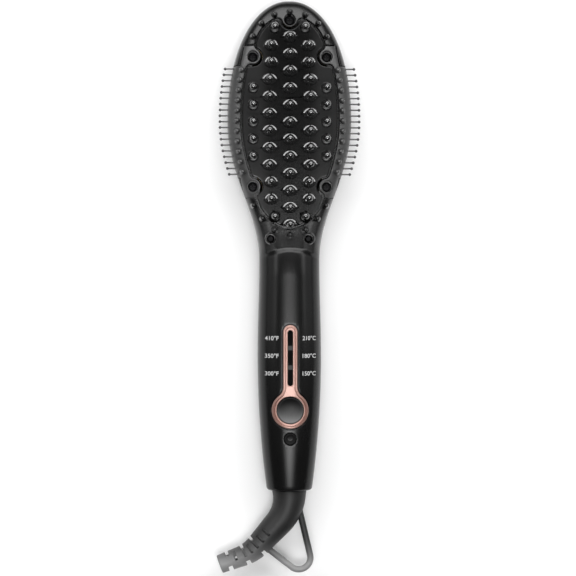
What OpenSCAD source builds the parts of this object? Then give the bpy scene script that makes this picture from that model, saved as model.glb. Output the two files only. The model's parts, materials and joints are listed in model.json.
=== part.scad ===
// Heated straightening brush: two-part body, heated toothed plate, side combs, swivel cord boot.
// Lies on its back: +Z is the way the teeth point, +Y the way the head points.
// The origin is on the rest face, at mid length.

/* [Head] */
// Length of the head, from the neck line to the tip
head_l = 137.3; // [130:0.5:150]
// Width of the head at its widest
head_w = 65.6; // [62:0.2:70]
// Distance from the tip back to the widest place
head_rise = 63.3; // [56:0.5:68]
// Height of the head's front above the seam
head_front = 11; // [10:0.5:14]
// Width of the rim between the head's edge and the plate
rim_w = 7.8; // [7.2:0.1:8.5]
// How much narrower the rim is below the lower side screws
rim_ease = 1.5; // [0.5:0.1:1.8]

/* [Handle] */
// Length of the handle, from its end to the neck line
handle_l = 121.3; // [118:0.5:140]
// Width of the handle at its widest
handle_w = 33.6; // [32:0.2:38]
// Width of the handle at its end, where its section is round
handle_end_w = 23.8; // [22.8:0.2:26]
// Width of the neck
neck_w = 31.8; // [30:0.2:34]
// Height of the handle's front above the seam
handle_front = 15.5; // [14.5:0.5:18]
// Height of the neck's front above the seam
neck_front = 13; // [12:0.5:14.5]
// Distance from the neck line to the widest place of the handle
handle_fall = 50.5; // [45:0.5:60]
// Height of the thumb ridge at the neck
ridge_h = 1.2; // [0.3:0.1:2]
// How much higher the front stands at the neck than on the head
neck_rise = 2.2; // [1:0.1:3]

/* [Body] */
// Height of the seam between the two shells above the rest face
seam_z = 14; // [13:0.5:16]
// Wall of the shells
wall = 2; // [1.6:0.1:2.4]
// Clearance between pieces that are fitted together and stay still
fit_gap = 0.15; // [0.05:0.05:0.25]
// Clearance round the buttons
button_gap = 0.3; // [0.25:0.05:0.5]

/* [Heating plate] */
// Height of the plate's face above the rest face
plate_z = 22.5; // [21.5:0.5:24]
// Thickness of the plate
plate_t = 2.5; // [2:0.1:3]
// Gap between the plate and the frame round it
plate_gap = 1.2; // [0.8:0.1:1.6]
// Height of a tooth without its cap
tooth_h = 8.6; // [7:0.2:12]
// Distance between neighbouring teeth in a column
tooth_pitch = 8.97; // [8.7:0.01:9.1]
// Teeth in the middle column
tooth_rows = 12; // [10:1:12]
// Distance from the middle column to the second ones
column_2 = 10.7; // [10:0.1:11]
// The same for the two rows at each end of the second columns
column_2_end = 9.9; // [9.5:0.1:10.5]
// Distance from the middle column to the third ones
column_3 = 19.3; // [18.8:0.1:19.8]
// Radius of a tooth at its foot
tooth_foot_r = 2.7; // [2.4:0.1:3]
// Radius of a tooth's cap
cap_r = 2; // [1.7:0.1:2.2]
// Height of a tooth's cap
cap_h = 2.6; // [2:0.1:3.5]

/* [Frame pins] */
// Radius of a frame pin at its foot
pin_foot_r = 1.6; // [1.3:0.05:1.7]
// Radius of a frame pin's round tip
pin_tip_r = 1.2; // [0.9:0.05:1.3]
// Height of a frame pin above the frame
pin_h = 4.6; // [3:0.2:7]

/* [Side combs] */
// Upright pins on each side comb
upright_pins = 11; // [8:1:12]
// Side pins on each side comb
side_pins = 19; // [14:1:19]
// Radius of a side pin
side_pin_r = 0.4; // [0.3:0.05:0.6]
// Radius of the ball on a side pin
side_ball_r = 0.75; // [0.6:0.05:1]
// How far the side pins reach past the head's edge
side_reach = 4; // [3:0.2:6]

/* [Screws] */
// Distance of the head's side screws from the middle
screw_x = 19.5; // [19.2:0.1:20]
// Distance from the tip to the top screw
screw_top = 10.5; // [9.8:0.1:11.5]
// Distance from the tip to the upper side screws
screw_upper = 30; // [29:0.1:31.5]
// Distance from the tip to the lower side screws
screw_lower = 98.4; // [96.5:0.1:99]
// Radius of the screws' holes in the head's front
bore_r = 3; // [2.8:0.1:3.2]
// Distance of the neck screws from the middle
neck_screw_x = 10; // [9.5:0.1:10.4]
// Distance from the neck line to the neck screws
neck_screw_y = 11.5; // [11:0.1:13]
// Radius of the neck screws' holes
neck_bore_r = 2.35; // [2.3:0.05:2.6]
// Radius of a screw's shank
shank_r = 1.25; // [1:0.05:1.4]

/* [Controls] */
// Width of the bezel's stem
stem_w = 7.6; // [7:0.1:9]
// Radius of the bezel's ring
ring_r = 9.7; // [9.4:0.1:10.2]
// Distance from the power button up to the bezel's top
bezel_up = 44.8; // [43:0.1:48]
// Radius of the curve between the bezel's stem and ring
flare_r = 6.1; // [4:0.1:8]
// How far the bezel stands above the handle
bezel_proud = 0.25; // [0.1:0.05:0.5]
// Depth of the bezel's seat in the handle
bezel_depth = 0.9; // [0.7:0.1:1.1]
// Width of the indicator slot
slot_w = 2.7; // [2.5:0.1:3.2]
// Length of the indicator slot
slot_l = 29.1; // [27:0.1:30]
// Length of a bar in the indicator slot
bar_l = 2.3; // [1.5:0.1:3]
// Radius of the power button
power_r = 6.9; // [6.4:0.1:7.1]
// Travel of the power button
power_travel = 0.8; // [0.5:0.1:1]
// Radius of the small button
small_r = 3.1; // [2.8:0.1:3.4]
// Distance from the handle's end to the small button
small_up = 27.6; // [27:0.1:31]
// Distance from the small button up to the power button
power_up = 15.1; // [14.5:0.1:16]
// Travel of the small button
small_travel = 0.6; // [0.4:0.1:0.8]

/* [Board] */
// Distance from the neck line to the control board
board_front = 25.5; // [24.5:0.5:30]
// Distance from the handle's end to the control board
board_back = 23.8; // [22.8:0.2:24]
// Width of the control board
board_w = 21; // [19:0.5:21.5]
// Thickness of the control board
board_t = 1.6; // [1:0.1:2]
// Height of the board's underside above the rest face
board_z = 16; // [15:0.5:17]
// Height of a switch's body
switch_h = 3.5; // [3:0.1:4]

/* [Swivel and boot] */
// Radius of the boot at the handle's end
boot_r = 9.15; // [8.6:0.05:9.6]
// Radius of the boot at its free end
boot_end_r = 4.9; // [4.8:0.1:5.6]
// Radius of the swivel spindle
spindle_r = 6.5; // [6:0.1:6.8]
// Running clearance of the spindle in its bush
spindle_gap = 0.06; // [0.03:0.01:0.09]
// Length of the bush
bush_l = 12; // [10:0.5:13]
// Radius of the bore for the cord
cord_r = 3.2; // [2.8:0.1:3.4]
// Depth of the bore for the cord
cord_bore_l = 12; // [10:0.5:14]
// Radius of the boot's first bend
bend_1 = 22; // [20:0.5:26]
// Length of the straight stretch between the bends
straight_1 = 15.3; // [13:0.1:18]
// Radius of the boot's second bend
bend_2 = 25; // [22:0.5:30]
// Length of the straight stretch after the second bend
straight_2 = 11.7; // [10:0.1:14]
// Thickness of the hanging loop
loop_d = 3.4; // [3:0.1:4]
// Radius of the loop's round corner
loop_r = 6.2; // [5.5:0.1:7]
// Distance from the handle's end to the middle of the loop's corner
loop_drop = 36.1; // [34:0.1:40]

/* [Hidden] */
$fn = 48;

// Levels along the length: the part is centred on the origin, the loop's lowest point to the tip
loop_low = loop_drop + loop_r + loop_d / 2;
y_tip = (head_l + handle_l + loop_low) / 2;
y_wide = y_tip - head_rise;
y_neck = y_tip - head_l;
y_barrel = y_neck - handle_fall;
y_end = y_neck - handle_l;
y_ridge = y_neck + 3;
y_scoop = y_neck + 11;
y_before = y_neck - 8;   // the sections stand closer from here
y_past = y_neck + 18;    // to here

// Outline of the body
head_round = 2.1;      // power of the head's superellipse
head_skew = 1.06;      // how far the head's flank leans to the neck
tip_round = 3.3;       // power of the tip's roundness in height
head_square = 3.3;     // power of the head's section
handle_square = 2.3;   // power of the handle's section
neck_back = 12;        // depth of the neck behind the seam
flat_d = 0.6;          // how far the back is cut flat
back_full = seam_z + flat_d;
ridge_l = 12;
ridge_fall = 4.5;
scoop_d = 0.4;
scoop_l = 7;
rise_full = 7;         // the neck's rise is full here past the neck line,
rise_l = 24;           // and fades over this length
ring_sides = 18;

// Heating plate and what carries it
seat_z = 16.5;         // seat of the plate, the combs and the head's bosses
deck_t = 1.5;
plate_foot = plate_z - plate_t;
skirt_t = 1.6;
ledge_w = 2;
plate_inset = 10.1;
top_arc_inset = 27.15;
y_plate_top = y_tip - plate_inset;
top_arc_y = y_tip - top_arc_inset;
top_arc_r = 17.8;
y_low_end = y_tip - 101.3;  // from here down the plate ends in a superellipse
low_end_w = 18;        // of this half width,
low_end_l = 18.5;      // length
low_end_round = 1.7;   // and power
plate_low = y_low_end - low_end_l;
boss_r = bore_r + 1;
notch_r = boss_r + plate_gap;
horn_r = 1.8;          // radius of the plate's corners at its notches
horn_reach = 9;
frame_wall = 1.5;

// Frame pins: the upper ones stand on an arc about the plate's top arc, the lower ones at
// these distances from the middle and from the tip
top_pins_r = top_arc_r + plate_gap + pin_foot_r + 0.1;
top_pin_turn = 22.8;
low_pins = [[0, 122.9], [8.1, 120.3], [14.7, 114.7], [19.1, 108.4]];

// Screws
screw_head_h = 1.8;
floor_t = 1.6;
post_r = 3.5;
neck_post_r = 3;
post_gap = 0.3;
post_room_l = 6;
neck_boss_r = neck_bore_r + 0.95;
shank_l = 10.5;
y_top_screw = y_tip - screw_top;
y_upper_screw = y_tip - screw_upper;
y_lower_screw = y_tip - screw_lower;
y_neck_screw = y_neck + neck_screw_y;
side_screws = [[screw_x, y_upper_screw], [screw_x, y_lower_screw]];

// Side combs: each reaches past its two screws and steps out to the head's edge between them
comb_past = 6.2;
comb_step = 4.5;
comb_in = 4.9;
comb_out = 7;
upright_in = 5.1;
upright_low_in = 3.4;
upright_foot_r = 1.6;
upright_tip_r = 1.15;
upright_h = 4.2;

// Teeth
tooth_inset = 19.55;
y_first_tooth = y_tip - tooth_inset;
end_tooth_x = 8;
collar_h = 4.9;        // height of the lens-shaped collar round a tooth
lens_l = [3.6, 4];     // its half length, short and long
lens_foot = 2.9;       // its half widths at the foot and the top
lens_tip = 2.6;
spur_l = 4.9;          // the same for the spurs on a long collar
spur_foot = 1.3;
spur_tip = 0.5;
post_foot_r = 2.2;     // radius of a tooth's post inside its collar

// Heater
heater_w = 24;
heater_l = 72;
heater_t = 2.5;
sheet_t = 0.4;
clamp_t = 0.8;
clamp_w = 36;
clamp_l = 52;
clamp_screw_x = 16;
clamp_screw_y = 22;
tray_t = 1;
tray_h = 4;
y_heater = y_wide;
shield_up = 43;
shield_down = 45;
shield_screw_y = [y_heater + shield_up, y_heater - shield_down];
gate_w = 22;           // opening in the heat shield for the leads
gate_l = 12;

// Controls
y_small = y_end + small_up;
y_power = y_small + power_up;
y_bezel = y_power + bezel_up;
slot_inset = 2.9;
y_slot = y_bezel - slot_inset;
bezel_room = 8;
bar_drop = [9.2, 19.4];
ring_hole_r = power_r + button_gap;
small_hole_r = small_r + button_gap;
face_z = seam_z + handle_front;
window_t = 1.2;
window_sink = 0.35;
board_top = board_z + board_t;
board_l = handle_l - board_front - board_back;
board_y1 = y_neck - board_front;
switch_w = 6;
stem_r = 1.7;
lamp_h = 1.8;
board_screw_x = 7.4;
triac_back = 26;
triac_h = 4.5;
capacitor_back = 42;
capacitor_w = 13;
capacitor_h = 11;
chip_back = 24;
chip_h = 1.6;

// Swivel
end_gap = 0.4;
clip_t = 1.2;
nose_r = 4.5;
nose_l = 20;
slip_r = 5.2;
slip_t = 2;
turn_1 = 42;
turn_2 = 28;
collar_l = 2.2;

// ---------- shared functions ----------

function blend(t) = (1 - cos(180 * min(1, max(0, t)))) / 2;
function bell(t) = abs(t) < 1 ? (1 + cos(180 * t)) / 2 : 0;
function mix(a, b, t) = a + (b - a) * t;
function super(u, p) = pow(max(0, 1 - pow(abs(u), p)), 1 / p);
function rise(y) = (y - y_wide) / head_rise;
function fall(y) = pow((y_barrel - y) / (y_barrel - y_end), 2);

// Half width of the body at a place along it
function half_w(y) =
    y > y_wide ? head_w / 2 * super(rise(y), head_round)
    : y > y_neck ? mix(head_w, neck_w, blend(pow((y_wide - y) / (y_wide - y_neck), head_skew))) / 2
    : y > y_barrel ? mix(neck_w, handle_w, blend((y_neck - y) / handle_fall)) / 2
    : mix(handle_w, handle_end_w, fall(y)) / 2;

// Height of the front above the seam, and depth of the back behind it
function handle_h(y) =
    y > y_barrel ? mix(handle_front, neck_front, blend((y - y_barrel) / handle_fall))
    : mix(handle_front, handle_end_w / 2, fall(y));
function head_h(y) =
    head_front * (y > y_wide ? super(rise(y), tip_round) : 1) - scoop_d * bell((y - y_scoop) / scoop_l)
    + neck_rise * blend(1 - (y - y_neck - rise_full) / rise_l);
function front_h(y) =
    mix(handle_h(y) + ridge_h * bell((y - y_ridge) / ridge_l), head_h(y), blend((y - y_ridge) / ridge_fall));
function back_h(y) =
    y > y_wide ? back_full * super(rise(y), tip_round)
    : y > y_neck ? mix(back_full, neck_back, blend((y_wide - y) / (y_wide - y_neck)))
    : y > y_barrel ? mix(neck_back, back_full, blend((y_neck - y) / handle_fall))
    : mix(back_full, handle_end_w / 2, fall(y));

// Squareness of the section: round at the handle's end, squarer towards the head
function square(y) =
    y > y_neck ? mix(handle_square, head_square, blend((y - y_neck) / (y_wide - y_neck)))
    : y > y_barrel ? handle_square
    : mix(handle_square, 2, fall(y));

// Height of the front's face above a place on the plan
function face_at(x, y) = seam_z + front_h(y) * super(x / half_w(y), square(y));

// Places along the body at which its section is taken
stations = concat(
    [for (i = [0:9]) mix(y_end, y_barrel, i / 10)],
    [for (i = [0:5]) mix(y_barrel, y_before, i / 6)],
    [for (i = [0:9]) mix(y_before, y_past, i / 10)],
    [for (i = [0:9]) mix(y_past, y_wide, i / 10)],
    [for (i = [0:13]) y_wide + head_rise * sin(6.4 * i)]);

// A half section: points from one side of the seam over to the other, dir 1 for front, -1 for back
function half_ring(y, w, h, dir) = [
    for (j = [0:ring_sides])
        let (a = 180 * j / ring_sides, p = 2 / square(y), c = cos(a))
        [(c < 0 ? -1 : 1) * w * pow(abs(c), p), y, seam_z + dir * h * pow(abs(sin(a)), p)]
];
function height(y, dir) = dir > 0 ? front_h(y) : back_h(y);

// The same section with its wall taken off; past the widest place it shrinks in proportion
function inner_w(y) = y > y_wide ? half_w(y) * (1 - 2 * wall / head_w) : half_w(y) - wall;
function inner_h(y, dir) =
    y > y_wide ? height(y, dir) * (1 - wall / height(y_wide, dir)) : height(y, dir) - wall;
function inner_y(y) = y_end + (y - y_end) * (y_tip - wall - y_end) / (y_tip - y_end);

function quad(a, b, c, d, flip) = flip ? [[a, c, b], [a, d, c]] : [[a, b, c], [a, c, d]];
function joined(lists) = [for (part = lists) for (item = part) item];

// Half of the body as a hollow shell, open at the seam and at the handle's end
module half_shell(dir) {
    count = len(stations);
    n = ring_sides + 1;
    outer = joined([for (y = stations) half_ring(y, half_w(y), height(y, dir), dir)]);
    inner = joined([for (y = stations)
        [for (p = half_ring(y, inner_w(y), inner_h(y, dir), dir)) [p[0], inner_y(y), p[2]]]]);
    points = concat(outer, [[0, y_tip, seam_z]], inner, [[0, y_tip - wall, seam_z]]);
    tip = count * n;
    base = tip + 1;
    in_tip = base + count * n;
    flip = dir < 0;
    skin = joined([for (i = [0:count - 2]) for (j = [0:n - 2])
        quad(i * n + j, i * n + j + 1, (i + 1) * n + j + 1, (i + 1) * n + j, flip)]);
    lining = joined([for (i = [0:count - 2]) for (j = [0:n - 2])
        let (k = base + i * n + j)
        quad(k, k + 1, k + n + 1, k + n, !flip)]);
    seam = joined([for (i = [0:count - 2]) concat(
        quad(i * n, (i + 1) * n, base + (i + 1) * n, base + i * n, flip),
        quad(i * n + n - 1, (i + 1) * n + n - 1, base + (i + 1) * n + n - 1, base + i * n + n - 1, !flip))]);
    end = joined([for (j = [0:n - 2]) quad(j, j + 1, base + j + 1, base + j, !flip)]);
    last = (count - 1) * n;
    caps = joined([for (j = [0:n - 2]) flip
        ? [[last + j, tip, last + j + 1], [base + last + j, base + last + j + 1, in_tip]]
        : [[last + j, last + j + 1, tip], [base + last + j, in_tip, base + last + j + 1]]]);
    rims = concat(
        quad(last, tip, in_tip, base + last, flip),
        quad(last + n - 1, tip, in_tip, base + last + n - 1, !flip));
    polyhedron(points, concat(skin, lining, seam, end, caps, rims));
}

// A solid stretch of one half between two places, grown all over by an amount
module half_solid(dir, y0, y1, grow = 0) {
    ys = [for (y = stations) if (y > y0 && y < y1) y];
    n = ring_sides + 1;
    count = len(ys);
    points = joined([for (y = ys) half_ring(y, half_w(y) + grow, height(y, dir) + grow, dir)]);
    last = (count - 1) * n;
    flip = dir < 0;
    skin = joined([for (i = [0:count - 2]) for (j = [0:n - 2])
        quad(i * n + j, i * n + j + 1, (i + 1) * n + j + 1, (i + 1) * n + j, flip)]);
    seam = joined([for (i = [0:count - 2])
        quad(i * n, (i + 1) * n, (i + 1) * n + n - 1, i * n + n - 1, flip)]);
    ends = joined([for (j = [1:n - 2]) flip
        ? [[0, j, j + 1], [last, last + j + 1, last + j]]
        : [[0, j + 1, j], [last, last + j, last + j + 1]]]);
    polyhedron(points, concat(skin, seam, ends));
}
module front_solid(y0, y1, grow = 0) half_solid(1, y0, y1, grow);

// A round bar along a path, with a radius at each point
module bar(path, radii, sides = 12) {
    count = len(path);
    function heading(i) =
        let (a = path[max(0, i - 1)], b = path[min(count - 1, i + 1)]) atan2(b[1] - a[1], b[0] - a[0]);
    points = joined([for (i = [0:count - 1]) [
        for (j = [0:sides - 1])
            let (a = 360 * j / sides, t = heading(i))
            path[i] + radii[i] * [-sin(t) * cos(a), cos(t) * cos(a), sin(a)]]]);
    last = (count - 1) * sides;
    side = joined([for (i = [0:count - 2]) for (j = [0:sides - 1])
        let (k = (j + 1) % sides)
        quad(i * sides + j, i * sides + k, (i + 1) * sides + k, (i + 1) * sides + j, true)]);
    end_0 = [for (j = [1:sides - 2]) [0, j, j + 1]];
    end_1 = [for (j = [1:sides - 2]) [last, last + j + 1, last + j]];
    polyhedron(points, concat(side, end_0, end_1));
}

module rod(x, y, z0, z1, r) translate([x, y, z0]) cylinder(r = r, h = z1 - z0);
module both_sides() {
    children();
    mirror([1, 0, 0]) children();
}
module at_side_screws() both_sides() for (p = side_screws) translate(p) children();
module at_head_screws() {
    translate([0, y_top_screw]) children();
    at_side_screws() children();
}
module at_neck_screws() both_sides() translate([neck_screw_x, y_neck_screw]) children();

// Recessed-head screw, its head's underside at the origin
module screw(head_r, head_h, shank, length) {
    cross = head_r * 0.6;
    difference() {
        union() {
            cylinder(r = head_r, h = head_h);
            translate([0, 0, -length]) cylinder(r = shank, h = length);
        }
        for (turn = [0, 90])
            rotate(turn) translate([-cross, -0.3, head_h * 0.45]) cube([2 * cross, 0.6, head_h]);
    }
}

// ---------- outlines on the plan ----------

// Half width of the plate, its outline moved out by an amount
function arc_w(y, centre, r) = sqrt(max(0, r * r - (y - centre) * (y - centre)));
function plate_w(y, out) = min(
    half_w(y) - rim_w + rim_ease * blend((y_lower_screw - y) / notch_r) + out,
    y > top_arc_y ? arc_w(y, top_arc_y, top_arc_r + out) : head_w,
    y < y_low_end ? (low_end_w + out) * super((y_low_end - y) / (low_end_l + out), low_end_round) : head_w);
module plate_outline(out) {
    low = plate_low - out;
    high = y_plate_top + out;
    side = concat(
        [for (i = [0:7]) let (y = y_low_end - (low_end_l + out) * cos(11.25 * i)) [plate_w(y, out), y]],
        [for (i = [0:18]) let (y = mix(y_low_end, top_arc_y, i / 18)) [plate_w(y, out), y]],
        [for (i = [1:6]) let (y = mix(top_arc_y, high, blend(i / 12) * 2)) [plate_w(y, out), y]]);
    other = [for (i = [len(side) - 1:-1:0]) if (side[i][0] > 0.001) [-side[i][0], side[i][1]]];
    polygon(concat([[0, low]], [for (p = side) if (p[0] > 0.001) p], other));
}
module plate_prism(out, z0, z1) translate([0, 0, z0]) linear_extrude(z1 - z0) plate_outline(out);

// Centre of the rounded corner between the plate's outline and a notch about c, sought from c to far
function horn_gap(c, y) = norm([plate_w(y, -horn_r), y] - c) - notch_r - horn_r;
function horn_y(c, near, far, steps = 20) =
    let (y = (near + far) / 2)
    steps == 0 ? y
    : horn_gap(c, y) > 0 ? horn_y(c, near, y, steps - 1)
    : horn_y(c, y, far, steps - 1);
function horn(c, reach) = let (y = horn_y(c, c[1], c[1] + reach)) [plate_w(y, -horn_r), y];

// Direction of the outline's normal, and of one place from another
function normal_at(y) = atan2(plate_w(y - 0.05, 0) - plate_w(y + 0.05, 0), 0.1);
function bearing(a, b) = atan2(b[1] - a[1], b[0] - a[0]);
function horn_touch(f, out) = f[1] + (horn_r + out) * sin(normal_at(f[1]));
function horn_in(c, f, out) = arc(f[0], f[1], horn_r + out, normal_at(f[1]), bearing(f, c), 4);
function horn_out(c, f, out) = arc(f[0], f[1], horn_r + out, bearing(f, c), normal_at(f[1]), 4);
function notch(c, f, g, out) =
    concat(horn_in(c, f, out), arc(c[0], c[1], notch_r - out, bearing(c, f) + 360, bearing(c, g), 12),
        horn_out(c, g, out));
function flank(from, to, out, steps) =
    [for (i = [1:steps - 1]) let (y = mix(from, to, i / steps)) [plate_w(y, out), y]];

// The plate's outline with its notches round the bosses
module notched_outline(out) {
    upper = side_screws[0];
    lower = side_screws[1];
    top = [0, y_top_screw];
    low_in = horn(lower, -horn_reach);
    low_out = horn(lower, horn_reach);
    up_in = horn(upper, -horn_reach);
    up_out = horn(upper, horn_reach);
    last = horn(top, -horn_reach);
    reach = low_end_l + out;
    meet = acos((y_low_end - horn_touch(low_in, out)) / reach);
    side = concat(
        [for (i = [1:8]) let (y = y_low_end - reach * cos(meet * i / 9)) [plate_w(y, out), y]],
        notch(lower, low_in, low_out, out),
        flank(horn_touch(low_out, out), horn_touch(up_in, out), out, 12),
        notch(upper, up_in, up_out, out),
        flank(horn_touch(up_out, out), horn_touch(last, out), out, 7),
        horn_in(top, last, out),
        arc(0, y_top_screw, notch_r - out, bearing(top, last), -90, 8));
    other = [for (i = [len(side) - 2:-1:0]) [-side[i][0], side[i][1]]];
    polygon(concat([[0, y_low_end - reach]], side, other));
}
module notched_plate(out, z0, z1) translate([0, 0, z0]) linear_extrude(z1 - z0) notched_outline(out);

// Bezel: a stem with a round top that flares into a ring, moved out by an amount
function arc(cx, cy, r, from, to, steps) =
    [for (i = [0:steps]) let (a = mix(from, to, i / steps)) [cx + r * cos(a), cy + r * sin(a)]];
module bezel_outline(out) {
    half = stem_w / 2;
    flare_x = half + flare_r;
    flare_y = y_power + sqrt(pow(ring_r + flare_r, 2) - flare_x * flare_x);
    meet = atan2(flare_y - y_power, flare_x);
    side = concat(
        arc(0, y_bezel - half, half + out, 90, 0, 6),
        arc(flare_x, flare_y, flare_r - out, 180, 180 + meet, 5),
        arc(0, y_power, ring_r + out, meet, -90, 14));
    polygon(concat(side, [for (i = [len(side) - 2:-1:1]) [-side[i][0], side[i][1]]]));
}
module bezel_prism(out) translate([0, 0, seam_z + 1]) linear_extrude(handle_front + 6) bezel_outline(out);

// Slot with round ends, as a tool that cuts through from one height to another
module slot(width, length, z0, z1) {
    r = width / 2;
    for (y = [y_slot - r, y_slot - length + r]) rod(0, y, z0, z1, r);
    translate([-r, y_slot - length + r, z0]) cube([width, length - width, z1 - z0]);
}

// Region of one side comb on the plan, moved in by an amount
module comb_region(inset) {
    top = y_upper_screw + comb_past - inset;
    step_top = y_upper_screw - comb_step - inset;
    step_low = y_lower_screw + comb_step + inset;
    low = y_lower_screw - comb_past + inset;
    polygon([
        [screw_x - notch_r, top], [screw_x + comb_in - inset, top],
        [screw_x + comb_out - inset, step_top], [head_w, step_top],
        [head_w, step_low], [screw_x + comb_out - inset, step_low],
        [screw_x + comb_in - inset, low], [screw_x - notch_r, low]]);
}
module comb_prism(inset) translate([0, 0, seat_z]) linear_extrude(head_front * 2) comb_region(inset);

// ---------- body ----------

module rear_shell() color([0.05, 0.05, 0.055]) difference() {
    union() {
        intersection() {
            half_shell(-1);
            translate([-head_w, y_end - 1, 0]) cube([2 * head_w, y_tip - y_end + 2, seam_z + 1]);
        }
        intersection() {
            half_solid(-1, y_neck, y_tip);
            screw_posts(seam_z);
        }
        difference() {
            screw_posts(seat_z);
            translate([-head_w, y_end, -1]) cube([2 * head_w, y_tip - y_end, seam_z]);
        }
        at_board_screws() rod(0, 0, wall - 0.5, board_z, 2.4);
    }
    at_head_screws() rod(0, 0, seat_z - shank_l, seat_z + 1, shank_r + 0.05);
    at_neck_screws() rod(0, 0, seat_z - shank_l, seat_z + 1, shank_r + 0.05);
    at_board_screws() rod(0, 0, board_z - 8, board_z + 1, 1);
}

module screw_posts(top) {
    at_head_screws() rod(0, 0, 0, top, post_r);
    at_neck_screws() rod(0, 0, 0, top, neck_post_r);
}

// Flat deck inside the head that carries the plate and the side combs
module deck() difference() {
    translate([0, 0, seat_z - deck_t]) linear_extrude(deck_t) deck_outline();
    plate_prism(-ledge_w, seat_z - deck_t - 1, seat_z + 1);
}
module deck_outline() {
    low = plate_low - 2.5;
    high = y_tip - 5;
    side = [for (i = [0:24]) let (y = mix(low, high, i / 24)) [half_w(y) - wall / 2, y]];
    polygon(concat(side, [for (i = [len(side) - 1:-1:0]) [-side[i][0], side[i][1]]]));
}

module frame_pin(x, y) {
    foot = face_at(x, y) - wall / 2;
    rod_h = pin_h + wall / 2 - pin_tip_r;
    translate([x, y, foot]) {
        cylinder(r1 = pin_foot_r, r2 = pin_tip_r, h = rod_h);
        translate([0, 0, rod_h]) sphere(r = pin_tip_r);
    }
}
module frame_pins() {
    for (i = [-3:3]) {
        turn = top_pin_turn * i;
        frame_pin(top_pins_r * sin(turn), top_arc_y + top_pins_r * cos(turn));
    }
    for (p = low_pins) for (side = p[0] > 0 ? [-1, 1] : [1]) frame_pin(side * p[0], y_tip - p[1]);
}

module front_shell() color([0.07, 0.07, 0.075]) difference() {
    union() {
        half_shell(1);
        deck();
        intersection() {
            front_solid(y_neck - 10, y_tip - 1);
            union() {
                difference() {
                    plate_prism(plate_gap + frame_wall, seat_z - 0.5, face_z);
                    notched_plate(plate_gap, seat_z - 1, face_z + 1);
                    at_side_screws() rod(0, 0, seat_z - 1, face_z + 1, notch_r);
                }
                at_neck_screws() rod(0, 0, seat_z, face_z, neck_boss_r);
            }
        }
        frame_pins();
    }
    notched_plate(plate_gap, seat_z, face_z + 4);
    both_sides() comb_prism(0);
    post_holes();
    translate([0, y_top_screw]) screw_hole(bore_r);
    at_neck_screws() screw_hole(neck_bore_r);
    difference() {
        bezel_prism(fit_gap);
        front_solid(y_small - bezel_room, y_neck, -bezel_depth);
    }
    slot(slot_w, slot_l, seam_z + 6, face_z + 2);
    rod(0, y_power, seam_z + 6, face_z + 2, ring_hole_r);
    rod(0, y_small, seam_z + 6, face_z + 2, small_hole_r);
}

// Room in the deck for the posts; at the side screws it is open to the plate
module post_holes() {
    z0 = seat_z - deck_t - 1;
    at_head_screws() rod(0, 0, z0, seat_z, post_r + post_gap);
    at_neck_screws() rod(0, 0, z0, seat_z, neck_post_r + post_gap);
    at_side_screws() translate([-post_room_l, -post_r - post_gap, z0])
        cube([post_room_l, 2 * (post_r + post_gap), deck_t + 1]);
}

// Counterbore with a through hole, from the seat up
module screw_hole(r) {
    rod(0, 0, seat_z + floor_t, face_z + 4, r);
    rod(0, 0, seat_z - 1, seat_z + floor_t + 1, shank_r + 0.2);
}

module side_comb() {
    top = y_upper_screw - comb_step - 1.7;
    low = y_lower_screw + comb_step + 2.1;
    z = seat_z + 1.6;
    difference() {
        intersection() {
            front_solid(y_lower_screw - 16, y_upper_screw + 16);
            difference() {
                comb_prism(fit_gap);
                notched_plate(plate_gap, seat_z - 1, face_z + 1);
            }
        }
        for (p = side_screws) translate(p) screw_hole(bore_r);
    }
    for (i = [0:upright_pins - 1]) {
        share = i / (upright_pins - 1);
        y = mix(top - 0.9, low + 1.2, share);
        x = half_w(y) - mix(upright_in, upright_low_in, pow(share, 4));
        foot = face_at(x, y) - 1;
        translate([x, y, foot]) cylinder(r1 = upright_foot_r, r2 = upright_tip_r, h = upright_h);
        translate([x, y, foot + upright_h]) sphere(r = upright_tip_r);
    }
    for (i = [0:side_pins - 1]) {
        y = mix(top, low, i / (side_pins - 1));
        x = half_w(y);
        translate([x - 1.5, y, z]) rotate([0, 90, 0]) cylinder(r = side_pin_r, h = side_reach + 1.5, $fn = 24);
        translate([x + side_reach, y, z]) sphere(r = side_ball_r, $fn = 24);
    }
}
module right_side_comb() color([0.09, 0.09, 0.095]) side_comb();
module left_side_comb() color([0.09, 0.09, 0.095]) mirror([1, 0, 0]) side_comb();

module head_screws() color([0.2, 0.2, 0.21])
    at_head_screws() translate([0, 0, seat_z + floor_t])
        screw(bore_r - 0.5, screw_head_h, shank_r, shank_l);
module neck_screws() color([0.2, 0.2, 0.21])
    at_neck_screws() translate([0, 0, seat_z + floor_t])
        screw(neck_bore_r - 0.3, screw_head_h, shank_r, shank_l);

// ---------- heating plate ----------

// Places of the teeth: [x, y, kind], where kind 0 is round, 1 has a short collar and 2 a long one with spurs
middle_teeth = [for (i = [0:tooth_rows - 1]) [0, y_first_tooth - tooth_pitch * i, 2]];
second_teeth = [for (side = [-1, 1]) for (i = [0:tooth_rows - 3])
    let (inner = i > 1 && i < tooth_rows - 4)
    [side * (inner ? column_2 : column_2_end), y_first_tooth - tooth_pitch * (i + 0.5), inner ? 2 : 1]];
end_teeth = [for (side = [-1, 1]) for (i = [-0.5, tooth_rows - 1.5])
    [side * end_tooth_x, y_first_tooth - tooth_pitch * i - (i < 0 ? -0.3 : 0.4), 0]];
third_teeth = [for (side = [-1, 1]) for (i = [3:7])
    [side * column_3, y_first_tooth - tooth_pitch * i, 0]];
teeth = concat(middle_teeth, second_teeth, end_teeth, third_teeth);

module at_tooth(t) translate([t[0], t[1], plate_z - 0.2]) children();
module collar(kind) {
    lens(lens_l[kind - 1], lens_foot, lens_tip);
    if (kind > 1) lens(spur_l, spur_foot, spur_tip);
}
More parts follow.
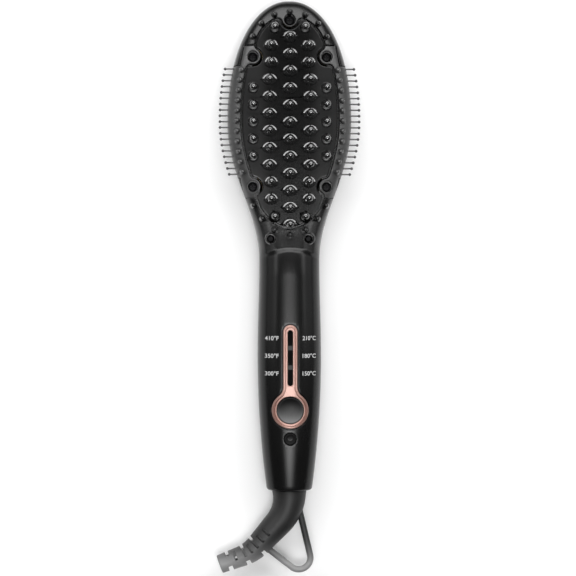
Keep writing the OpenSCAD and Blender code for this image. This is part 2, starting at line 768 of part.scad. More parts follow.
// A collar that is lens-shaped on the plan, as the overlap of two cones
module lens(half_l, foot, tip) {
    r = (half_l * half_l + foot * foot) / (2 * foot);
    intersection_for(side = [-1, 1])
        translate([0, side * (r - foot), 0]) cylinder(r1 = r, r2 = r - foot + tip, h = collar_h);
}

module heating_plate() color([0.03, 0.03, 0.035]) {
    difference() {
        union() {
            notched_plate(0, plate_foot, plate_z - 0.5);
            notched_plate(-0.5, plate_z - 1, plate_z);
            difference() {
                notched_plate(0, seat_z, plate_foot + 0.5);
                notched_plate(-skirt_t, seat_z - 1, plate_foot);
            }
            for (y = shield_screw_y) rod(0, y, seat_z - deck_t - tray_h + tray_t, plate_foot + 0.5, 3);
            at_clamp_screws() rod(0, 0, clamp_z + clamp_t, plate_foot + 0.5, 2.4);
        }
        for (y = shield_screw_y) rod(0, y, 0, plate_foot - 1, 1.05);
        at_clamp_screws() rod(0, 0, clamp_z, plate_foot + 0.7, 1.05);
    }
    for (t = teeth) at_tooth(t)
        cylinder(r1 = t[2] > 0 ? post_foot_r : tooth_foot_r, r2 = cap_r - 0.1, h = tooth_h);
    for (t = teeth) if (t[2] > 0 && t[1] - lens_foot > plate_low) at_tooth(t) collar(t[2]);
    for (t = teeth) if (t[2] > 0 && t[1] - lens_foot <= plate_low) intersection() {
        at_tooth(t) collar(t[2]);
        notched_plate(0, plate_foot, plate_z + collar_h);
    }
}
module tooth_caps() color([0.06, 0.06, 0.065])
    for (t = teeth) translate([t[0], t[1], plate_z - 0.2 + tooth_h]) {
        cylinder(r = cap_r, h = cap_h - cap_r * 0.8);
        translate([0, 0, cap_h - cap_r * 0.8]) dome(cap_r, cap_r * 0.8);
    }
// Round cap lower than half a ball: the top of a larger ball
module dome(r, h) {
    ball = (r * r + h * h) / (2 * h);
    intersection() {
        translate([0, 0, h - ball]) sphere(r = ball);
        cylinder(r = r + 1, h = h + 1);
    }
}

heater_z = plate_foot - heater_t;
sheet_z = heater_z - sheet_t;
clamp_z = sheet_z - clamp_t;
module at_clamp_screws()
    both_sides() for (s = [-1, 1]) translate([clamp_screw_x, y_heater + s * clamp_screw_y]) children();
module slab(w, l, y, z0, z1) translate([-w / 2, y - l / 2, z0]) cube([w, l, z1 - z0]);

lead_x = [5, 7.6];
module heater_element() color([0.85, 0.84, 0.8]) {
    slab(heater_w, heater_l, y_heater, heater_z, plate_foot);
    for (x = lead_x)
        translate([x - 0.7, y_heater - heater_l / 2 - 3, heater_z + 0.6]) cube([1.4, 4, 0.8]);
}
module insulation_sheet() color([0.75, 0.6, 0.3])
    slab(heater_w + 1, heater_l - 2, y_heater, sheet_z, heater_z);
module heater_clamp() color([0.6, 0.61, 0.62]) difference() {
    slab(clamp_w, clamp_l, y_heater, clamp_z, sheet_z);
    at_clamp_screws() rod(0, 0, clamp_z - 1, sheet_z + 1, 1.2);
}
module clamp_screws() color([0.7, 0.7, 0.7])
    at_clamp_screws() translate([0, 0, clamp_z]) mirror([0, 0, 1]) screw(2, 1.2, 1, 3);
module thermal_fuse() color([0.8, 0.8, 0.78])
    translate([6, y_heater, clamp_z - 1.42]) rotate([-90, 0, 0]) cylinder(r = 1.4, h = 12);
module thermistor() color([0.7, 0.2, 0.15])
    translate([-6, y_heater - 8, clamp_z - 1.02]) rotate([-90, 0, 0]) cylinder(r = 1, h = 4);

tray_z = seat_z - deck_t - tray_h;
module heat_shield() color([0.55, 0.5, 0.4]) difference() {
    notched_plate(0, tray_z, tray_z + tray_h);
    notched_plate(-tray_t, tray_z + tray_t, tray_z + tray_h + 1);
    translate([-gate_w / 2, plate_low - 5, tray_z + tray_t]) cube([gate_w, gate_l, tray_h]);
    for (y = shield_screw_y) rod(0, y, tray_z - 1, tray_z + tray_t + 1, 1.2);
}
module shield_screws() color([0.7, 0.7, 0.7])
    for (y = shield_screw_y) translate([0, y, tray_z]) mirror([0, 0, 1]) screw(2.2, 1.4, 1, 6);

// ---------- board and controls ----------

module at_board_screws() {
    translate([-board_screw_x, board_y1 - 4]) children();
    translate([board_screw_x, board_y1 - board_l + 7]) children();
}
module control_board() color([0.1, 0.35, 0.15]) difference() {
    slab(board_w, board_l, board_y1 - board_l / 2, board_z, board_top);
    at_board_screws() rod(0, 0, board_z - 1, board_top + 1, 1.2);
}
module board_screws() color([0.7, 0.7, 0.7])
    at_board_screws() translate([0, 0, board_top]) screw(1.9, 1.2, 0.95, 7);
module switch_body(y, travel) translate([0, y, board_top]) difference() {
    translate([-switch_w / 2, -switch_w / 2, 0]) cube([switch_w, switch_w, switch_h]);
    translate([0, 0, switch_h - stem_in - travel - 0.5]) cylinder(r = stem_r + 0.3, h = switch_h);
}
module power_switch() color([0.15, 0.15, 0.16]) switch_body(y_power, power_travel);
module small_switch() color([0.15, 0.15, 0.16]) switch_body(y_small, small_travel);
stem_in = 0.3;
stem_z = board_top + switch_h - stem_in;
foot_drop = 1.9;
power_foot_z = seam_z + front_h(y_power) - wall - foot_drop;
small_foot_z = seam_z + front_h(y_small) - wall - foot_drop;
module power_switch_stem() color([0.8, 0.8, 0.75]) rod(0, y_power, stem_z, power_foot_z, stem_r);
module small_switch_stem() color([0.8, 0.8, 0.75]) rod(0, y_small, stem_z, small_foot_z, stem_r);

window_y = [
    mix(y_slot, y_slot - bar_drop[0] + bar_l / 2, 0.5),
    y_slot - (bar_drop[0] + bar_drop[1]) / 2,
    mix(y_slot - bar_drop[1] - bar_l / 2, y_slot - slot_l, 0.5)];
window_z = seam_z + front_h(y_slot - slot_l) + bezel_proud - window_sink - window_t;
module indicator_lamps() color([0.95, 0.9, 0.8])
    for (y = window_y) slab(2, 3, y, board_top, board_top + lamp_h);
module light_guide() color([0.85, 0.88, 0.9]) {
    for (y = window_y) slab(slot_w - 2 * fit_gap, 5, y, board_top + lamp_h + 0.3, window_z);
    slab(slot_w - 2 * fit_gap, slot_l - 8, y_slot - slot_l / 2, window_z - 3.5, window_z - 1.5);
}
module indicator_window() color([0.02, 0.02, 0.02])
    slot(slot_w - 2 * fit_gap, slot_l, window_z, window_z + window_t);
module window_bars() color([0.45, 0.45, 0.46])
    for (d = bar_drop)
        slab(slot_w - 2 * fit_gap, bar_l, y_slot - d, window_z + window_t, window_z + window_t + 0.3);
module bezel() color([0.8, 0.55, 0.48]) difference() {
    intersection() {
        bezel_prism(0);
        difference() {
            front_solid(y_small - bezel_room, y_neck, bezel_proud);
            front_solid(y_small - 2 * bezel_room, y_neck + bezel_room, -bezel_depth);
        }
    }
    slot(slot_w, slot_l, seam_z, face_z + 2);
    rod(0, y_power, seam_z, face_z + 2, ring_hole_r);
}

// A round button with a dished top, kept in by a bar under the handle's front
module button(y, r, foot_z, dish, top_z) {
    ball = (r * r + dish * dish) / (2 * dish);
    difference() {
        rod(0, y, foot_z, top_z, r);
        translate([0, y, top_z - dish + ball]) sphere(r = ball);
    }
    slab(6, 2 * r + 3, y, foot_z, foot_z + 0.8);
}
module power_button() color([0.1, 0.1, 0.105])
    button(y_power, power_r, power_foot_z, 1.2, seam_z + front_h(y_power) + bezel_proud);
module small_button() color([0.08, 0.08, 0.085])
    button(y_small, small_r, small_foot_z, 0.5, seam_z + front_h(y_small) - 0.1);

module triac() color([0.12, 0.12, 0.13])
    translate([-9, board_y1 - triac_back, board_z - triac_h]) cube([10, 15, triac_h]);
module capacitor() color([0.75, 0.6, 0.2])
    slab(capacitor_w, 8, board_y1 - capacitor_back, board_z - capacitor_h, board_z);
module control_chip() color([0.1, 0.1, 0.1])
    translate([3, board_y1 - chip_back, board_top]) cube([5, 8, chip_h]);

// ---------- leads ----------

// A lead from the head through the neck onto the board, in a lane of its own
module lead(r, x_head, y_head, z_head, x_neck, x_board) {
    mouth = plate_low;
    low_z = tray_z + tray_t + r + 0.4;
    path = [
        [x_head, y_head, z_head], [x_head, y_head - 3, z_head],
        [x_head, mix(y_head, mouth + 6, 0.5), low_z + 0.6], [x_head, mouth + 6, low_z],
        [x_head, mouth + 2, low_z], [x_neck, mouth - 4, low_z + 0.6], [x_neck, y_neck + 6, low_z + 1.2],
        [x_neck, y_neck - 6, board_top], [x_board, board_y1 + 3, board_top + r + 0.6],
        [x_board, board_y1 - 2, board_top + r]];
    bar(path, [for (p = path) r], 8);
}
module heater_leads() color([0.7, 0.15, 0.12]) {
    y = y_heater - heater_l / 2 - 3;
    lead(0.8, lead_x[0], y, heater_z + 1, 2.4, 2.2);
    lead(0.8, lead_x[1], y, heater_z + 1, 4.8, 4.8);
}
module thermistor_leads() color([0.85, 0.85, 0.82]) {
    lead(0.4, -5.5, y_heater - 8, clamp_z - 1.02, -2.2, -2.2);
    lead(0.4, -6.5, y_heater - 8, clamp_z - 1.02, -3.6, -3.6);
}

// ---------- swivel and boot ----------

// Round piece about the handle's axis, from one distance past the handle's end to another
module turned(from, to, r)
    translate([0, y_end + from, seam_z]) rotate([-90, 0, 0]) cylinder(r = r, h = to - from);

bush_r = handle_end_w / 2 - wall - 0.1;
module swivel_bush() color([0.75, 0.75, 0.72]) difference() {
    union() {
        turned(0, bush_l, bush_r);
        turned(bush_l - 3, bush_l, bush_r + 0.7);
    }
    turned(-1, bush_l + 1, spindle_r + spindle_gap);
}
module swivel_clip() color([0.6, 0.6, 0.62]) difference() {
    turned(bush_l + 0.3, bush_l + 0.3 + clip_t, spindle_r + 1.6);
    turned(bush_l, bush_l + 1 + clip_t, nose_r + 0.05);
}
module slip_rings() color([0.8, 0.65, 0.3])
    for (from = [nose_l - 5, nose_l - slip_t]) difference() {
        turned(from, from + slip_t, slip_r);
        turned(from - 1, from + slip_t + 1, nose_r + 0.05);
    }
module contact_arms() color([0.8, 0.65, 0.3])
    for (side = [-1, 1]) {
        x = slip_r + 0.8;
        reach = side < 0 ? nose_l - slip_t : nose_l - 5;
        bump = reach + slip_t / 2;
        translate([side < 0 ? -x - 0.5 : x, y_end + reach - 0.2, seam_z - 2])
            cube([0.5, board_y1 - board_l + 4 - y_end - reach, board_z - seam_z + 2]);
        translate([side < 0 ? -x : x - 0.65, y_end + bump - 0.4, seam_z - 1]) cube([0.65, 0.8, 2]);
    }

// Centre line of the boot: straight, a bend, straight, a second bend, straight
boot_y = y_end - end_gap;
bend_start = [0, boot_y - collar_l];
function along(dir, d) = d * [cos(dir), sin(dir)];
function left_of(dir) = [-sin(dir), cos(dir)];
// A point on a right-hand bend that starts at a place with a heading
function right_bend(start, dir, r, a) = start - r * left_of(dir) + r * left_of(dir - a);
dir_0 = 270;
dir_1 = dir_0 - turn_1;
dir_2 = dir_1 - turn_2;
bend_1_end = right_bend(bend_start, dir_0, bend_1, turn_1);
bend_2_start = bend_1_end + along(dir_1, straight_1);
bend_2_end = right_bend(bend_2_start, dir_1, bend_2, turn_2);
boot_tip = bend_2_end + along(dir_2, straight_2);
boot_line = concat(
    [[0, boot_y]],
    [for (i = [0:6]) right_bend(bend_start, dir_0, bend_1, turn_1 * i / 6)],
    [for (i = [1:5]) bend_1_end + along(dir_1, straight_1 * i / 5)],
    [for (i = [1:5]) right_bend(bend_2_start, dir_1, bend_2, turn_2 * i / 5)],
    [for (i = [1:3]) bend_2_end + along(dir_2, straight_2 * i / 3)]);
boot_steps = len(boot_line) - 1;

// Hanging loop: from the boot's outer side round a corner and back to the boot further down
loop_c = [5, y_end - loop_drop];
loop_a = bend_1_end + [11.8, 3.2];
loop_b = bend_2_start + [4.5, -2.5];
function angle_to(p) = atan2(p[1] - loop_c[1], p[0] - loop_c[0]);
function tangent(p) = acos(loop_r / norm(p - loop_c));
function carry_on(from, to, further) = to + further * (to - from) / norm(to - from);
module hanging_loop() {
    from = angle_to(loop_a) - tangent(loop_a);
    to = angle_to(loop_b) + tangent(loop_b) - 360;
    corner = arc(loop_c[0], loop_c[1], loop_r, from, to, 10);
    last = corner[len(corner) - 1];
    plan = concat([carry_on(corner[0], loop_a, 6), loop_a], corner, [loop_b, carry_on(last, loop_b, 3)]);
    path = [for (p = plan) [p[0], p[1], seam_z]];
    bar(path, [for (p = path) loop_d / 2], 14);
}

module cord_boot() color([0.06, 0.06, 0.065]) {
    difference() {
        union() {
            bar([for (p = boot_line) [p[0], p[1], seam_z]],
                [for (i = [0:boot_steps]) mix(boot_r, boot_end_r, pow(i / boot_steps, 0.85))], 20);
            hanging_loop();
            turned(-end_gap - 1, bush_l + 1 + clip_t, spindle_r);
            turned(0, nose_l, nose_r);
        }
        difference() {
            turned(bush_l + 0.3, bush_l + 0.3 + clip_t, spindle_r + 1);
            turned(bush_l, bush_l + 1 + clip_t, nose_r);
        }
        translate([boot_tip[0], boot_tip[1], seam_z]) rotate([0, 0, dir_2]) rotate([0, 90, 0])
            translate([0, 0, -cord_bore_l]) cylinder(r = cord_r, h = cord_bore_l + 1);
    }
}

rear_shell();
front_shell();
left_side_comb();
right_side_comb();
heating_plate();
tooth_caps();
head_screws();
neck_screws();
heater_element();
insulation_sheet();
heater_clamp();
clamp_screws();
thermal_fuse();
thermistor();
heat_shield();
shield_screws();
control_board();
board_screws();
power_switch();
power_switch_stem();
small_switch();
small_switch_stem();
indicator_lamps();
light_guide();
triac();
capacitor();
control_chip();
bezel();
indicator_window();
window_bars();
power_button();
small_button();
swivel_bush();
swivel_clip();
slip_rings();
contact_arms();
heater_leads();
thermistor_leads();
cord_boot();
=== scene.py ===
"""Looks of a heated straightening brush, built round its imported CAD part.

Lengths are in millimetres in the CAD frame, and MM turns them into Blender's metres.
The brush lies on its back: +Z is the way the teeth point, +Y the way the head points.
"""

import contextlib
import json
import math

import bpy
from mathutils import Matrix, Vector


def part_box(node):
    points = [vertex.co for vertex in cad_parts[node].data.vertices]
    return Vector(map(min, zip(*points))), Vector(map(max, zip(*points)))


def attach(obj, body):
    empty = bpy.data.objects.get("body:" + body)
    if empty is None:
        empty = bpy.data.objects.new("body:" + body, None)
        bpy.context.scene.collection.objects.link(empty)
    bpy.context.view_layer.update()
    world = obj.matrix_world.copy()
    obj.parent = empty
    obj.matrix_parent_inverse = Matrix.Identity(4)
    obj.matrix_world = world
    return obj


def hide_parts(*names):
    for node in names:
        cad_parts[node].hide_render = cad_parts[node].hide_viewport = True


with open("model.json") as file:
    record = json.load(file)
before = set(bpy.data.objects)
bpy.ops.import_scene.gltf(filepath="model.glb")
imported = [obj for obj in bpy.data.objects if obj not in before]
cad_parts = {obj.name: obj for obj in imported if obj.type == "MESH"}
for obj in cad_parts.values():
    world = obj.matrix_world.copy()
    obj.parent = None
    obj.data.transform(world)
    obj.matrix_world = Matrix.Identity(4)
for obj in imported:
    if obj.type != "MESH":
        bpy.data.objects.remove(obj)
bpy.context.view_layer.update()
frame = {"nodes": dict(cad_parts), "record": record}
MM = 0.001


def low(node):
    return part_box(node)[0] / MM


def high(node):
    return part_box(node)[1] / MM


def centre(node):
    return (low(node) + high(node)) / 2


# ---------- sums ----------

def blend(t):
    return (1 - math.cos(math.pi * min(1, max(0, t)))) / 2


def mix(a, b, t):
    return a + (b - a) * t


def other_side(places):
    """The mirror images of places, across the middle line."""
    return [(-x, y) for x, y in places]


def spread(first, last, count):
    """Numbers from the first on, evenly spaced, without the last."""
    return [mix(first, last, i / count) for i in range(count)]


def arch(u, power):
    """Height of a superellipse of unit size at u."""
    return max(0, 1 - abs(u) ** power) ** (1 / power)


# ---------- sizes of the brush ----------

seam_z = low("front_shell").z
y_tip = high("rear_shell").y
y_end = low("rear_shell").y
y_power = centre("power_button").y
y_small = centre("small_button").y
y_bezel = high("bezel").y
y_slot = high("indicator_window").y
wall = 2.0
plate_z = 22.5          # top of the heating plate
seat_z = 16.5           # foot of the plate and the combs
screw_z = seat_z + 1.6  # foot of a screw's head
above = 45              # over the whole brush, for the tops of tools

head_l = 137.3
head_w = 65.6
head_rise = 63.3        # from the widest place to the tip
head_front = 11.0       # height over the seam
head_power = 2.1        # power of the outline's superellipse
head_square = 3.3       # power of the section's superellipse
tip_round = 3.3
rim_w = 7.8
rim_ease = 1.5

handle_w = 33.6
handle_end_w = 23.8
handle_front = 15.5
handle_square = 2.3
handle_fall = 50.5      # from the neck to the barrel
neck_w = 31.8
neck_front = 14.9
neck_back = 12.0
back_full = seam_z + 0.6

step_l = 13.5           # the step from the handle down to the head
step_bow = 4.5
step_early = 0.55       # share of the step that comes before its foot
foot_l = 2.8
ramp_h = 2.2            # rise of the head's front toward the neck
ramp_l = 24
dish_half_w = 11
dish_half_l = 8
dish_d = 0.5

y_wide = y_tip - head_rise
y_neck = y_tip - head_l
y_barrel = y_neck - handle_fall
y_step = y_neck + 6.2
y_ramp = y_neck + 9
y_dish = y_neck + 13

y_plate_top = y_tip - 10.1
top_arc_y = y_tip - 27.15
top_arc_r = 17.8
y_low_end = y_tip - 101.3
low_end_w = 18.0
low_end_l = 18.5
plate_low = y_low_end - low_end_l
plate_gap = 1.2

bore_r = 3.0
boss_r = bore_r + 1
notch_r = boss_r + plate_gap
horn_r = 1.8
neck_bore_r = 2.45
y_top_screw = y_tip - 10.5
screw_x = 19.5
y_upper_screw = y_tip - 30
y_lower_screw = y_tip - 98.4
side_screws = [(screw_x, y_upper_screw), (screw_x, y_lower_screw)]
neck_screw = (10, y_neck + 11.5)
head_screws = [(0, y_top_screw)] + side_screws + other_side(side_screws)
neck_screws = [neck_screw] + other_side([neck_screw])

tooth_pitch = 8.97
tooth_rows = 12
y_first_tooth = y_tip - 19.55
tooth_h = 8.6
cap_r = 2.0
cap_h = 2.6

bezel_rise = 0.25
bezel_seat = 0.9        # depth of the bezel's seat
slot_w = 2.7
slot_l = 29.1
power_hole_r = 7.2
power_key_r = 6.9
small_hole_r = 3.4
small_key_r = 3.1
small_dish = 0.5
small_sunk = 0.1
key_rim = 0.45


# ---------- shape of the body along its length ----------

def fall(y):
    """How far the handle has tapered at a place behind its barrel, from 0 to 1 at its end."""
    return ((y_barrel - y) / (y_barrel - y_end)) ** 2


def half_w(y):
    """Half the brush's width at a place along it."""
    if y > y_wide:
        return head_w / 2 * arch((y - y_wide) / head_rise, head_power)
    if y > y_neck:
        share = ((y_wide - y) / (y_wide - y_neck)) ** 1.06
        return mix(head_w, neck_w, blend(share)) / 2
    if y > y_barrel:
        return mix(neck_w, handle_w, blend((y_neck - y) / handle_fall)) / 2
    return mix(handle_w, handle_end_w, fall(y)) / 2


def handle_h(y):
    if y > y_barrel:
        return mix(handle_front, neck_front, blend((y - y_barrel) / handle_fall))
    return mix(handle_front, handle_end_w / 2, fall(y))


def head_h(y):
    tip = arch((y - y_wide) / head_rise, tip_round) if y > y_wide else 1
    return head_front * tip + ramp_h * blend(1 - (y - y_ramp) / ramp_l)


def front_h(y, side=0.0):
    """Height of the front over the seam; side is 0 on the middle line and 1 at the edge.

    The handle falls to the head in a step, steepest at its foot and bowed back at the sides.
    """
    along = y - y_step + step_bow * min(1, side * side)
    share = min(1, max(0, (along + step_l) / step_l))
    step = mix(share ** 1.6 * step_early, 1, blend((along + 2) / foot_l))
    far = math.hypot(side * half_w(y) / dish_half_w, (y - y_dish) / dish_half_l)
    return mix(handle_h(y), head_h(y), step) - dish_d * blend(1 - far)


def back_h(y):
    """Depth of the back under the seam."""
    if y > y_wide:
        return back_full * arch((y - y_wide) / head_rise, tip_round)
    if y > y_neck:
        return mix(back_full, neck_back, blend((y_wide - y) / (y_wide - y_neck)))
    if y > y_barrel:
        return mix(neck_back, back_full, blend((y_neck - y) / handle_fall))
    return mix(back_full, handle_end_w / 2, fall(y))


def square(y):
    """Power of the section's superellipse: 2 is an ellipse, and more is squarer."""
    if y > y_neck:
        share = blend((y - y_neck) / (y_wide - y_neck))
        return mix(handle_square, head_square, share)
    return handle_square if y > y_barrel else mix(handle_square, 2, fall(y))


def face_z(x, y):
    """Height of the front's surface over a place on the plan."""
    side = abs(x) / max(half_w(y), 0.01)
    return seam_z + front_h(y, side) * arch(side, square(y))


# ---------- modelling helpers ----------

def pick(piece):
    """Makes a piece the active one and the only one selected."""
    bpy.ops.object.select_all(action="DESELECT")
    piece.select_set(True)
    bpy.context.view_layer.objects.active = piece
    return piece


def named(name):
    piece = bpy.context.object
    piece.name = name
    return piece


@contextlib.contextmanager
def edited():
    """Edit mode on the active piece, with all of it selected."""
    bpy.ops.object.mode_set(mode="EDIT")
    bpy.ops.mesh.select_all(action="SELECT")
    yield
    bpy.ops.object.mode_set(mode="OBJECT")


def skin(name, rows):
    """A closed solid: a grid over rows of points, its seams merged and its ends filled."""
    across = len(rows[0]) - 1
    along = len(rows) - 1
    bpy.ops.mesh.primitive_grid_add(x_subdivisions=across, y_subdivisions=along, size=2)
    piece = named(name)
    for vertex in piece.data.vertices:
        column = round((vertex.co.x + 1) / 2 * across)
        row = round((vertex.co.y + 1) / 2 * along)
        vertex.co = Vector(rows[row][column]) * MM
    with edited():
        bpy.ops.mesh.remove_doubles(threshold=0.001 * MM)
        bpy.ops.mesh.fill_holes(sides=0)
        bpy.ops.mesh.select_all(action="SELECT")
        bpy.ops.mesh.quads_convert_to_tris()
        bpy.ops.mesh.normals_make_consistent(inside=False)
    return piece


def cut(piece, *tools, how="DIFFERENCE"):
    """Cuts tools from a piece, or intersects it with them, and takes the tools away."""
    for tool in tools:
        step = piece.modifiers.new("cut", "BOOLEAN")
        step.object = tool
        step.operation = how
        step.solver = "MANIFOLD"
        pick(piece)
        bpy.ops.object.modifier_apply(modifier=step.name)
        bpy.data.objects.remove(tool)
    return piece


def add(piece, *parts):
    """Fuses parts to a piece."""
    return cut(piece, *parts, how="UNION")


def copy_of(piece, name, move=(0, 0), flip=False):
    """A copy with its own mesh, moved on the plan, or mirrored across the middle line."""
    other = piece.copy()
    other.data = piece.data.copy()
    other.name = name
    bpy.context.scene.collection.objects.link(other)
    other.data.transform(Matrix.Translation(Vector((*move, 0)) * MM))
    if flip:
        other.data.transform(Matrix.Scale(-1, 4, (1, 0, 0)))
        other.data.flip_normals()
    return other


def copies(piece, name, places):
    """Copies of one piece, joined, with the first one taken away."""
    made = [copy_of(piece, f"{name}_{i}", move=place) for i, place in enumerate(places)]
    bpy.data.objects.remove(piece)
    return joined(name, made)


def joined(name, pieces):
    bpy.ops.object.select_all(action="DESELECT")
    for piece in pieces:
        piece.select_set(True)
    bpy.context.view_layer.objects.active = pieces[0]
    if len(pieces) > 1:
        bpy.ops.object.join()
    return named(name)


def turned(name, profile, at=(0, 0), sides=48):
    """A round piece about a vertical line: a circle extruded up a profile of (radius, height)."""
    x, y = at[0] * MM, at[1] * MM
    last_r, last_z = profile[0]
    bpy.ops.mesh.primitive_circle_add(
        vertices=sides, radius=max(last_r, 0.01) * MM, fill_type="NGON",
        location=(x, y, last_z * MM))
    piece = named(name)
    bpy.ops.object.transform_apply(location=True)
    with edited():
        for r, z in profile[1:]:
            rise = (0, 0, (z - last_z) * MM)
            bpy.ops.mesh.extrude_region_move(TRANSFORM_OT_translate={"value": rise})
            grow = max(r, 0.01) / max(last_r, 0.01)
            bpy.ops.transform.resize(value=(grow, grow, 1), center_override=(x, y, z * MM))
            last_r, last_z = r, z
        bpy.ops.mesh.select_all(action="SELECT")
        bpy.ops.mesh.normals_make_consistent(inside=False)
    return piece


def box(name, low_corner, high_corner, bevel=0):
    """A block between two corners, its edges bevelled."""
    lo = Vector(low_corner) * MM
    hi = Vector(high_corner) * MM
    bpy.ops.mesh.primitive_cube_add(size=1, location=(lo + hi) / 2)
    piece = named(name)
    piece.scale = hi - lo
    bpy.ops.object.transform_apply(location=True, scale=True)
    if bevel:
        with edited():
            bpy.ops.mesh.bevel(offset=bevel * MM, segments=2)
    return piece


def circle(x, y, r, count=64):
    return arc_points(x, y, r, 0, 360, count)[:-1]


def grown(outline, out):
    """A closed outline moved out along its own normals."""
    count = len(outline)
    area = sum(a[0] * b[1] - b[0] * a[1] for a, b in zip(outline, outline[1:] + outline[:1]))
    side = 1 if area > 0 else -1
    moved = []
    for i, (x, y) in enumerate(outline):
        before = outline[i - 1]
        after = outline[(i + 1) % count]
        tangent = Vector((after[0] - before[0], after[1] - before[1])).normalized()
        moved.append((x + side * out * tangent.y, y - side * out * tangent.x))
    return moved


def wrapped(name, outline, profile):
    """A solid round an outline, whose profile is a list of (distance out, height).

    A height is a number, or a function of the place on the plan.
    """
    rows = []
    for out, height in profile:
        points = grown(outline, out) if out else list(outline)
        row = [(x, y, height(x, y) if callable(height) else height) for x, y in points]
        rows.append(row + row[:1])
    return skin(name, rows)


def ringed(name, rings, sides):
    """A closed tube through rings, each a middle, a heading on the plan and a radius."""
    rows = []
    for (x, y, z), heading, r in rings:
        turn = math.radians(heading)
        row = []
        for i in range(sides + 1):
            a = 2 * math.pi * (i % sides) / sides
            out = r * math.cos(a)
            row.append((x - out * math.sin(turn), y + out * math.cos(turn), z + r * math.sin(a)))
        rows.append(row)
    return skin(name, rows)


def over_face(rise, least=0.0):
    """A height that follows the front's surface, but never goes under a least height."""
    return lambda x, y: max(face_z(x, y) + rise, least)


def flared(name, outline, bottom, edge=0.6, top=above):
    """A tool that leaves a rounded edge on the front; a negative edge leans inwards."""
    curve = [(0, -1), (0.08, -0.6), (0.3, -0.28), (0.65, -0.06), (1.05, 0.05)]
    rounded = [(out * edge, over_face(rise * abs(edge), bottom + 0.05 * (i + 1)))
               for i, (out, rise) in enumerate(curve)]
    return wrapped(name, outline, [(0, bottom)] + rounded + [(edge * 1.1, top)])


def prism(name, outline, bottom, top):
    return wrapped(name, outline, [(0, bottom), (0, top)])


def dress(piece, body, slot, *nodes, finish=None, smooth=32):
    """Gives a piece its finish and shading, hangs it on its body, and hides the CAD nodes it stands
    for.
    """
    piece.data.materials.clear()
    piece.data.materials.append(finishes[finish or slot])
    pick(piece)
    bpy.ops.object.shade_smooth_by_angle(angle=math.radians(smooth))
    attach(piece, body)
    if nodes:
        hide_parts(*nodes)


# ---------- finishes ----------

class Value:
    """A socket in a material: arithmetic on it adds Math nodes."""

    def __init__(self, finish, socket):
        self.finish = finish
        self.socket = socket

    def math(self, operation, *others):
        values = dict(enumerate((self, *others)))
        return self.finish.node("ShaderNodeMath", {"operation": operation}, values)

    def __add__(self, other):
        return self.math("ADD", other)

    def __sub__(self, other):
        return self.math("SUBTRACT", other)

    def __mul__(self, other):
        return self.math("MULTIPLY", other)

    def __pow__(self, other):
        return self.math("POWER", other)

    def __rsub__(self, other):
        return self.finish.node("ShaderNodeMath", {"operation": "SUBTRACT"}, {0: other, 1: self})

    __radd__ = __add__
    __rmul__ = __mul__

    def clamp(self):
        return self.finish.node("ShaderNodeClamp", {}, {0: self})


class Finish:
    """A material: a principled shader fed by expressions."""

    def __init__(self, name, **constants):
        self.material = bpy.data.materials.new(name)
        self.material.use_nodes = True
        self.tree = self.material.node_tree
        self.shader = self.tree.nodes["Principled BSDF"]
        for socket, value in constants.items():
            self.shader.inputs[socket.replace("_", " ")].default_value = value
        self.place = self.node("ShaderNodeTexCoord", {}, {}, output="Object")

    def node(self, kind, settings, values, output=0):
        """A node of a kind, with its settings and the values or links of its sockets."""
        node = self.tree.nodes.new(kind)
        for name, setting in settings.items():
            setattr(node, name, setting)
        for key, value in values.items():
            if isinstance(value, Value):
                self.tree.links.new(value.socket, node.inputs[key])
            else:
                node.inputs[key].default_value = value
        return Value(self, node.outputs[output])

    def noise(self, size, detail=2, roughness=0.5, stretch=None):
        """Noise from 0 to 1 with features of about a size in millimetres."""
        place = self.place
        if stretch:
            place = self.node("ShaderNodeMapping", {}, {"Vector": place, "Scale": stretch})
        return self.node("ShaderNodeTexNoise", {}, {
            "Vector": place, "Scale": 1 / (size * MM), "Detail": detail, "Roughness": roughness})

    def cells(self, size):
        """Distance to the nearest of points scattered about a size apart."""
        return self.node("ShaderNodeTexVoronoi", {}, {
            "Vector": self.place, "Scale": 1 / (size * MM)}, output="Distance")

    def mix_colour(self, share, first, second):
        values = {0: share, 6: first, 7: second}
        return self.node("ShaderNodeMix", {"data_type": "RGBA"}, values, output=2)

    def axis(self, name):
        return self.node("ShaderNodeSeparateXYZ", {}, {0: self.place}, output=name)

    def feed(self, socket, value):
        self.tree.links.new(value.socket, self.shader.inputs[socket])

    def surface(self, share, dark, pale, roughness, height=None, depth=0.0):
        """Colour from dark to pale by a share, roughness, and relief of a depth in mm."""
        self.feed("Base Color", self.mix_colour(share, dark, pale))
        self.feed("Roughness", roughness)
        if height:
            self.feed("Normal", self.node("ShaderNodeBump", {}, {
                "Height": height, "Distance": depth * MM, "Strength": 1.0}))
        return self.material


def scaled(colour, by):
    return tuple(min(1, part * by) for part in colour) + (1,)


def grey(value):
    return scaled((1, 1, 1), value)


def moulded(name, shade, roughness, grain=0.35, depth=0.012, level=0.5,
            tint=(1, 1, 1), glossy_from=None):
    """Moulded plastic: fine spark-eroded grain, uneven gloss and a trace of handling wear.

    Ahead of glossy_from, a place along the brush, it is glossier.
    """
    finish = Finish(name, Specular_IOR_Level=level, Coat_Roughness=roughness)
    if glossy_from is not None:
        ahead_of = finish.axis("Y") - glossy_from * MM
        finish.feed("Coat Weight", (ahead_of * 150).clamp() * 0.6)
    fine = finish.noise(grain, 3, 0.6)
    broad = finish.noise(22)
    smear = finish.noise(6, 4, 0.62, stretch=(1, 0.35, 1))
    rough = broad * 0.06 + smear * 0.07 + fine * 0.05 + (roughness - 0.09)
    return finish.surface(fine * 0.5 + broad * 0.5, scaled(tint, shade * 0.82),
                          scaled(tint, shade * 1.25), rough, fine, depth)


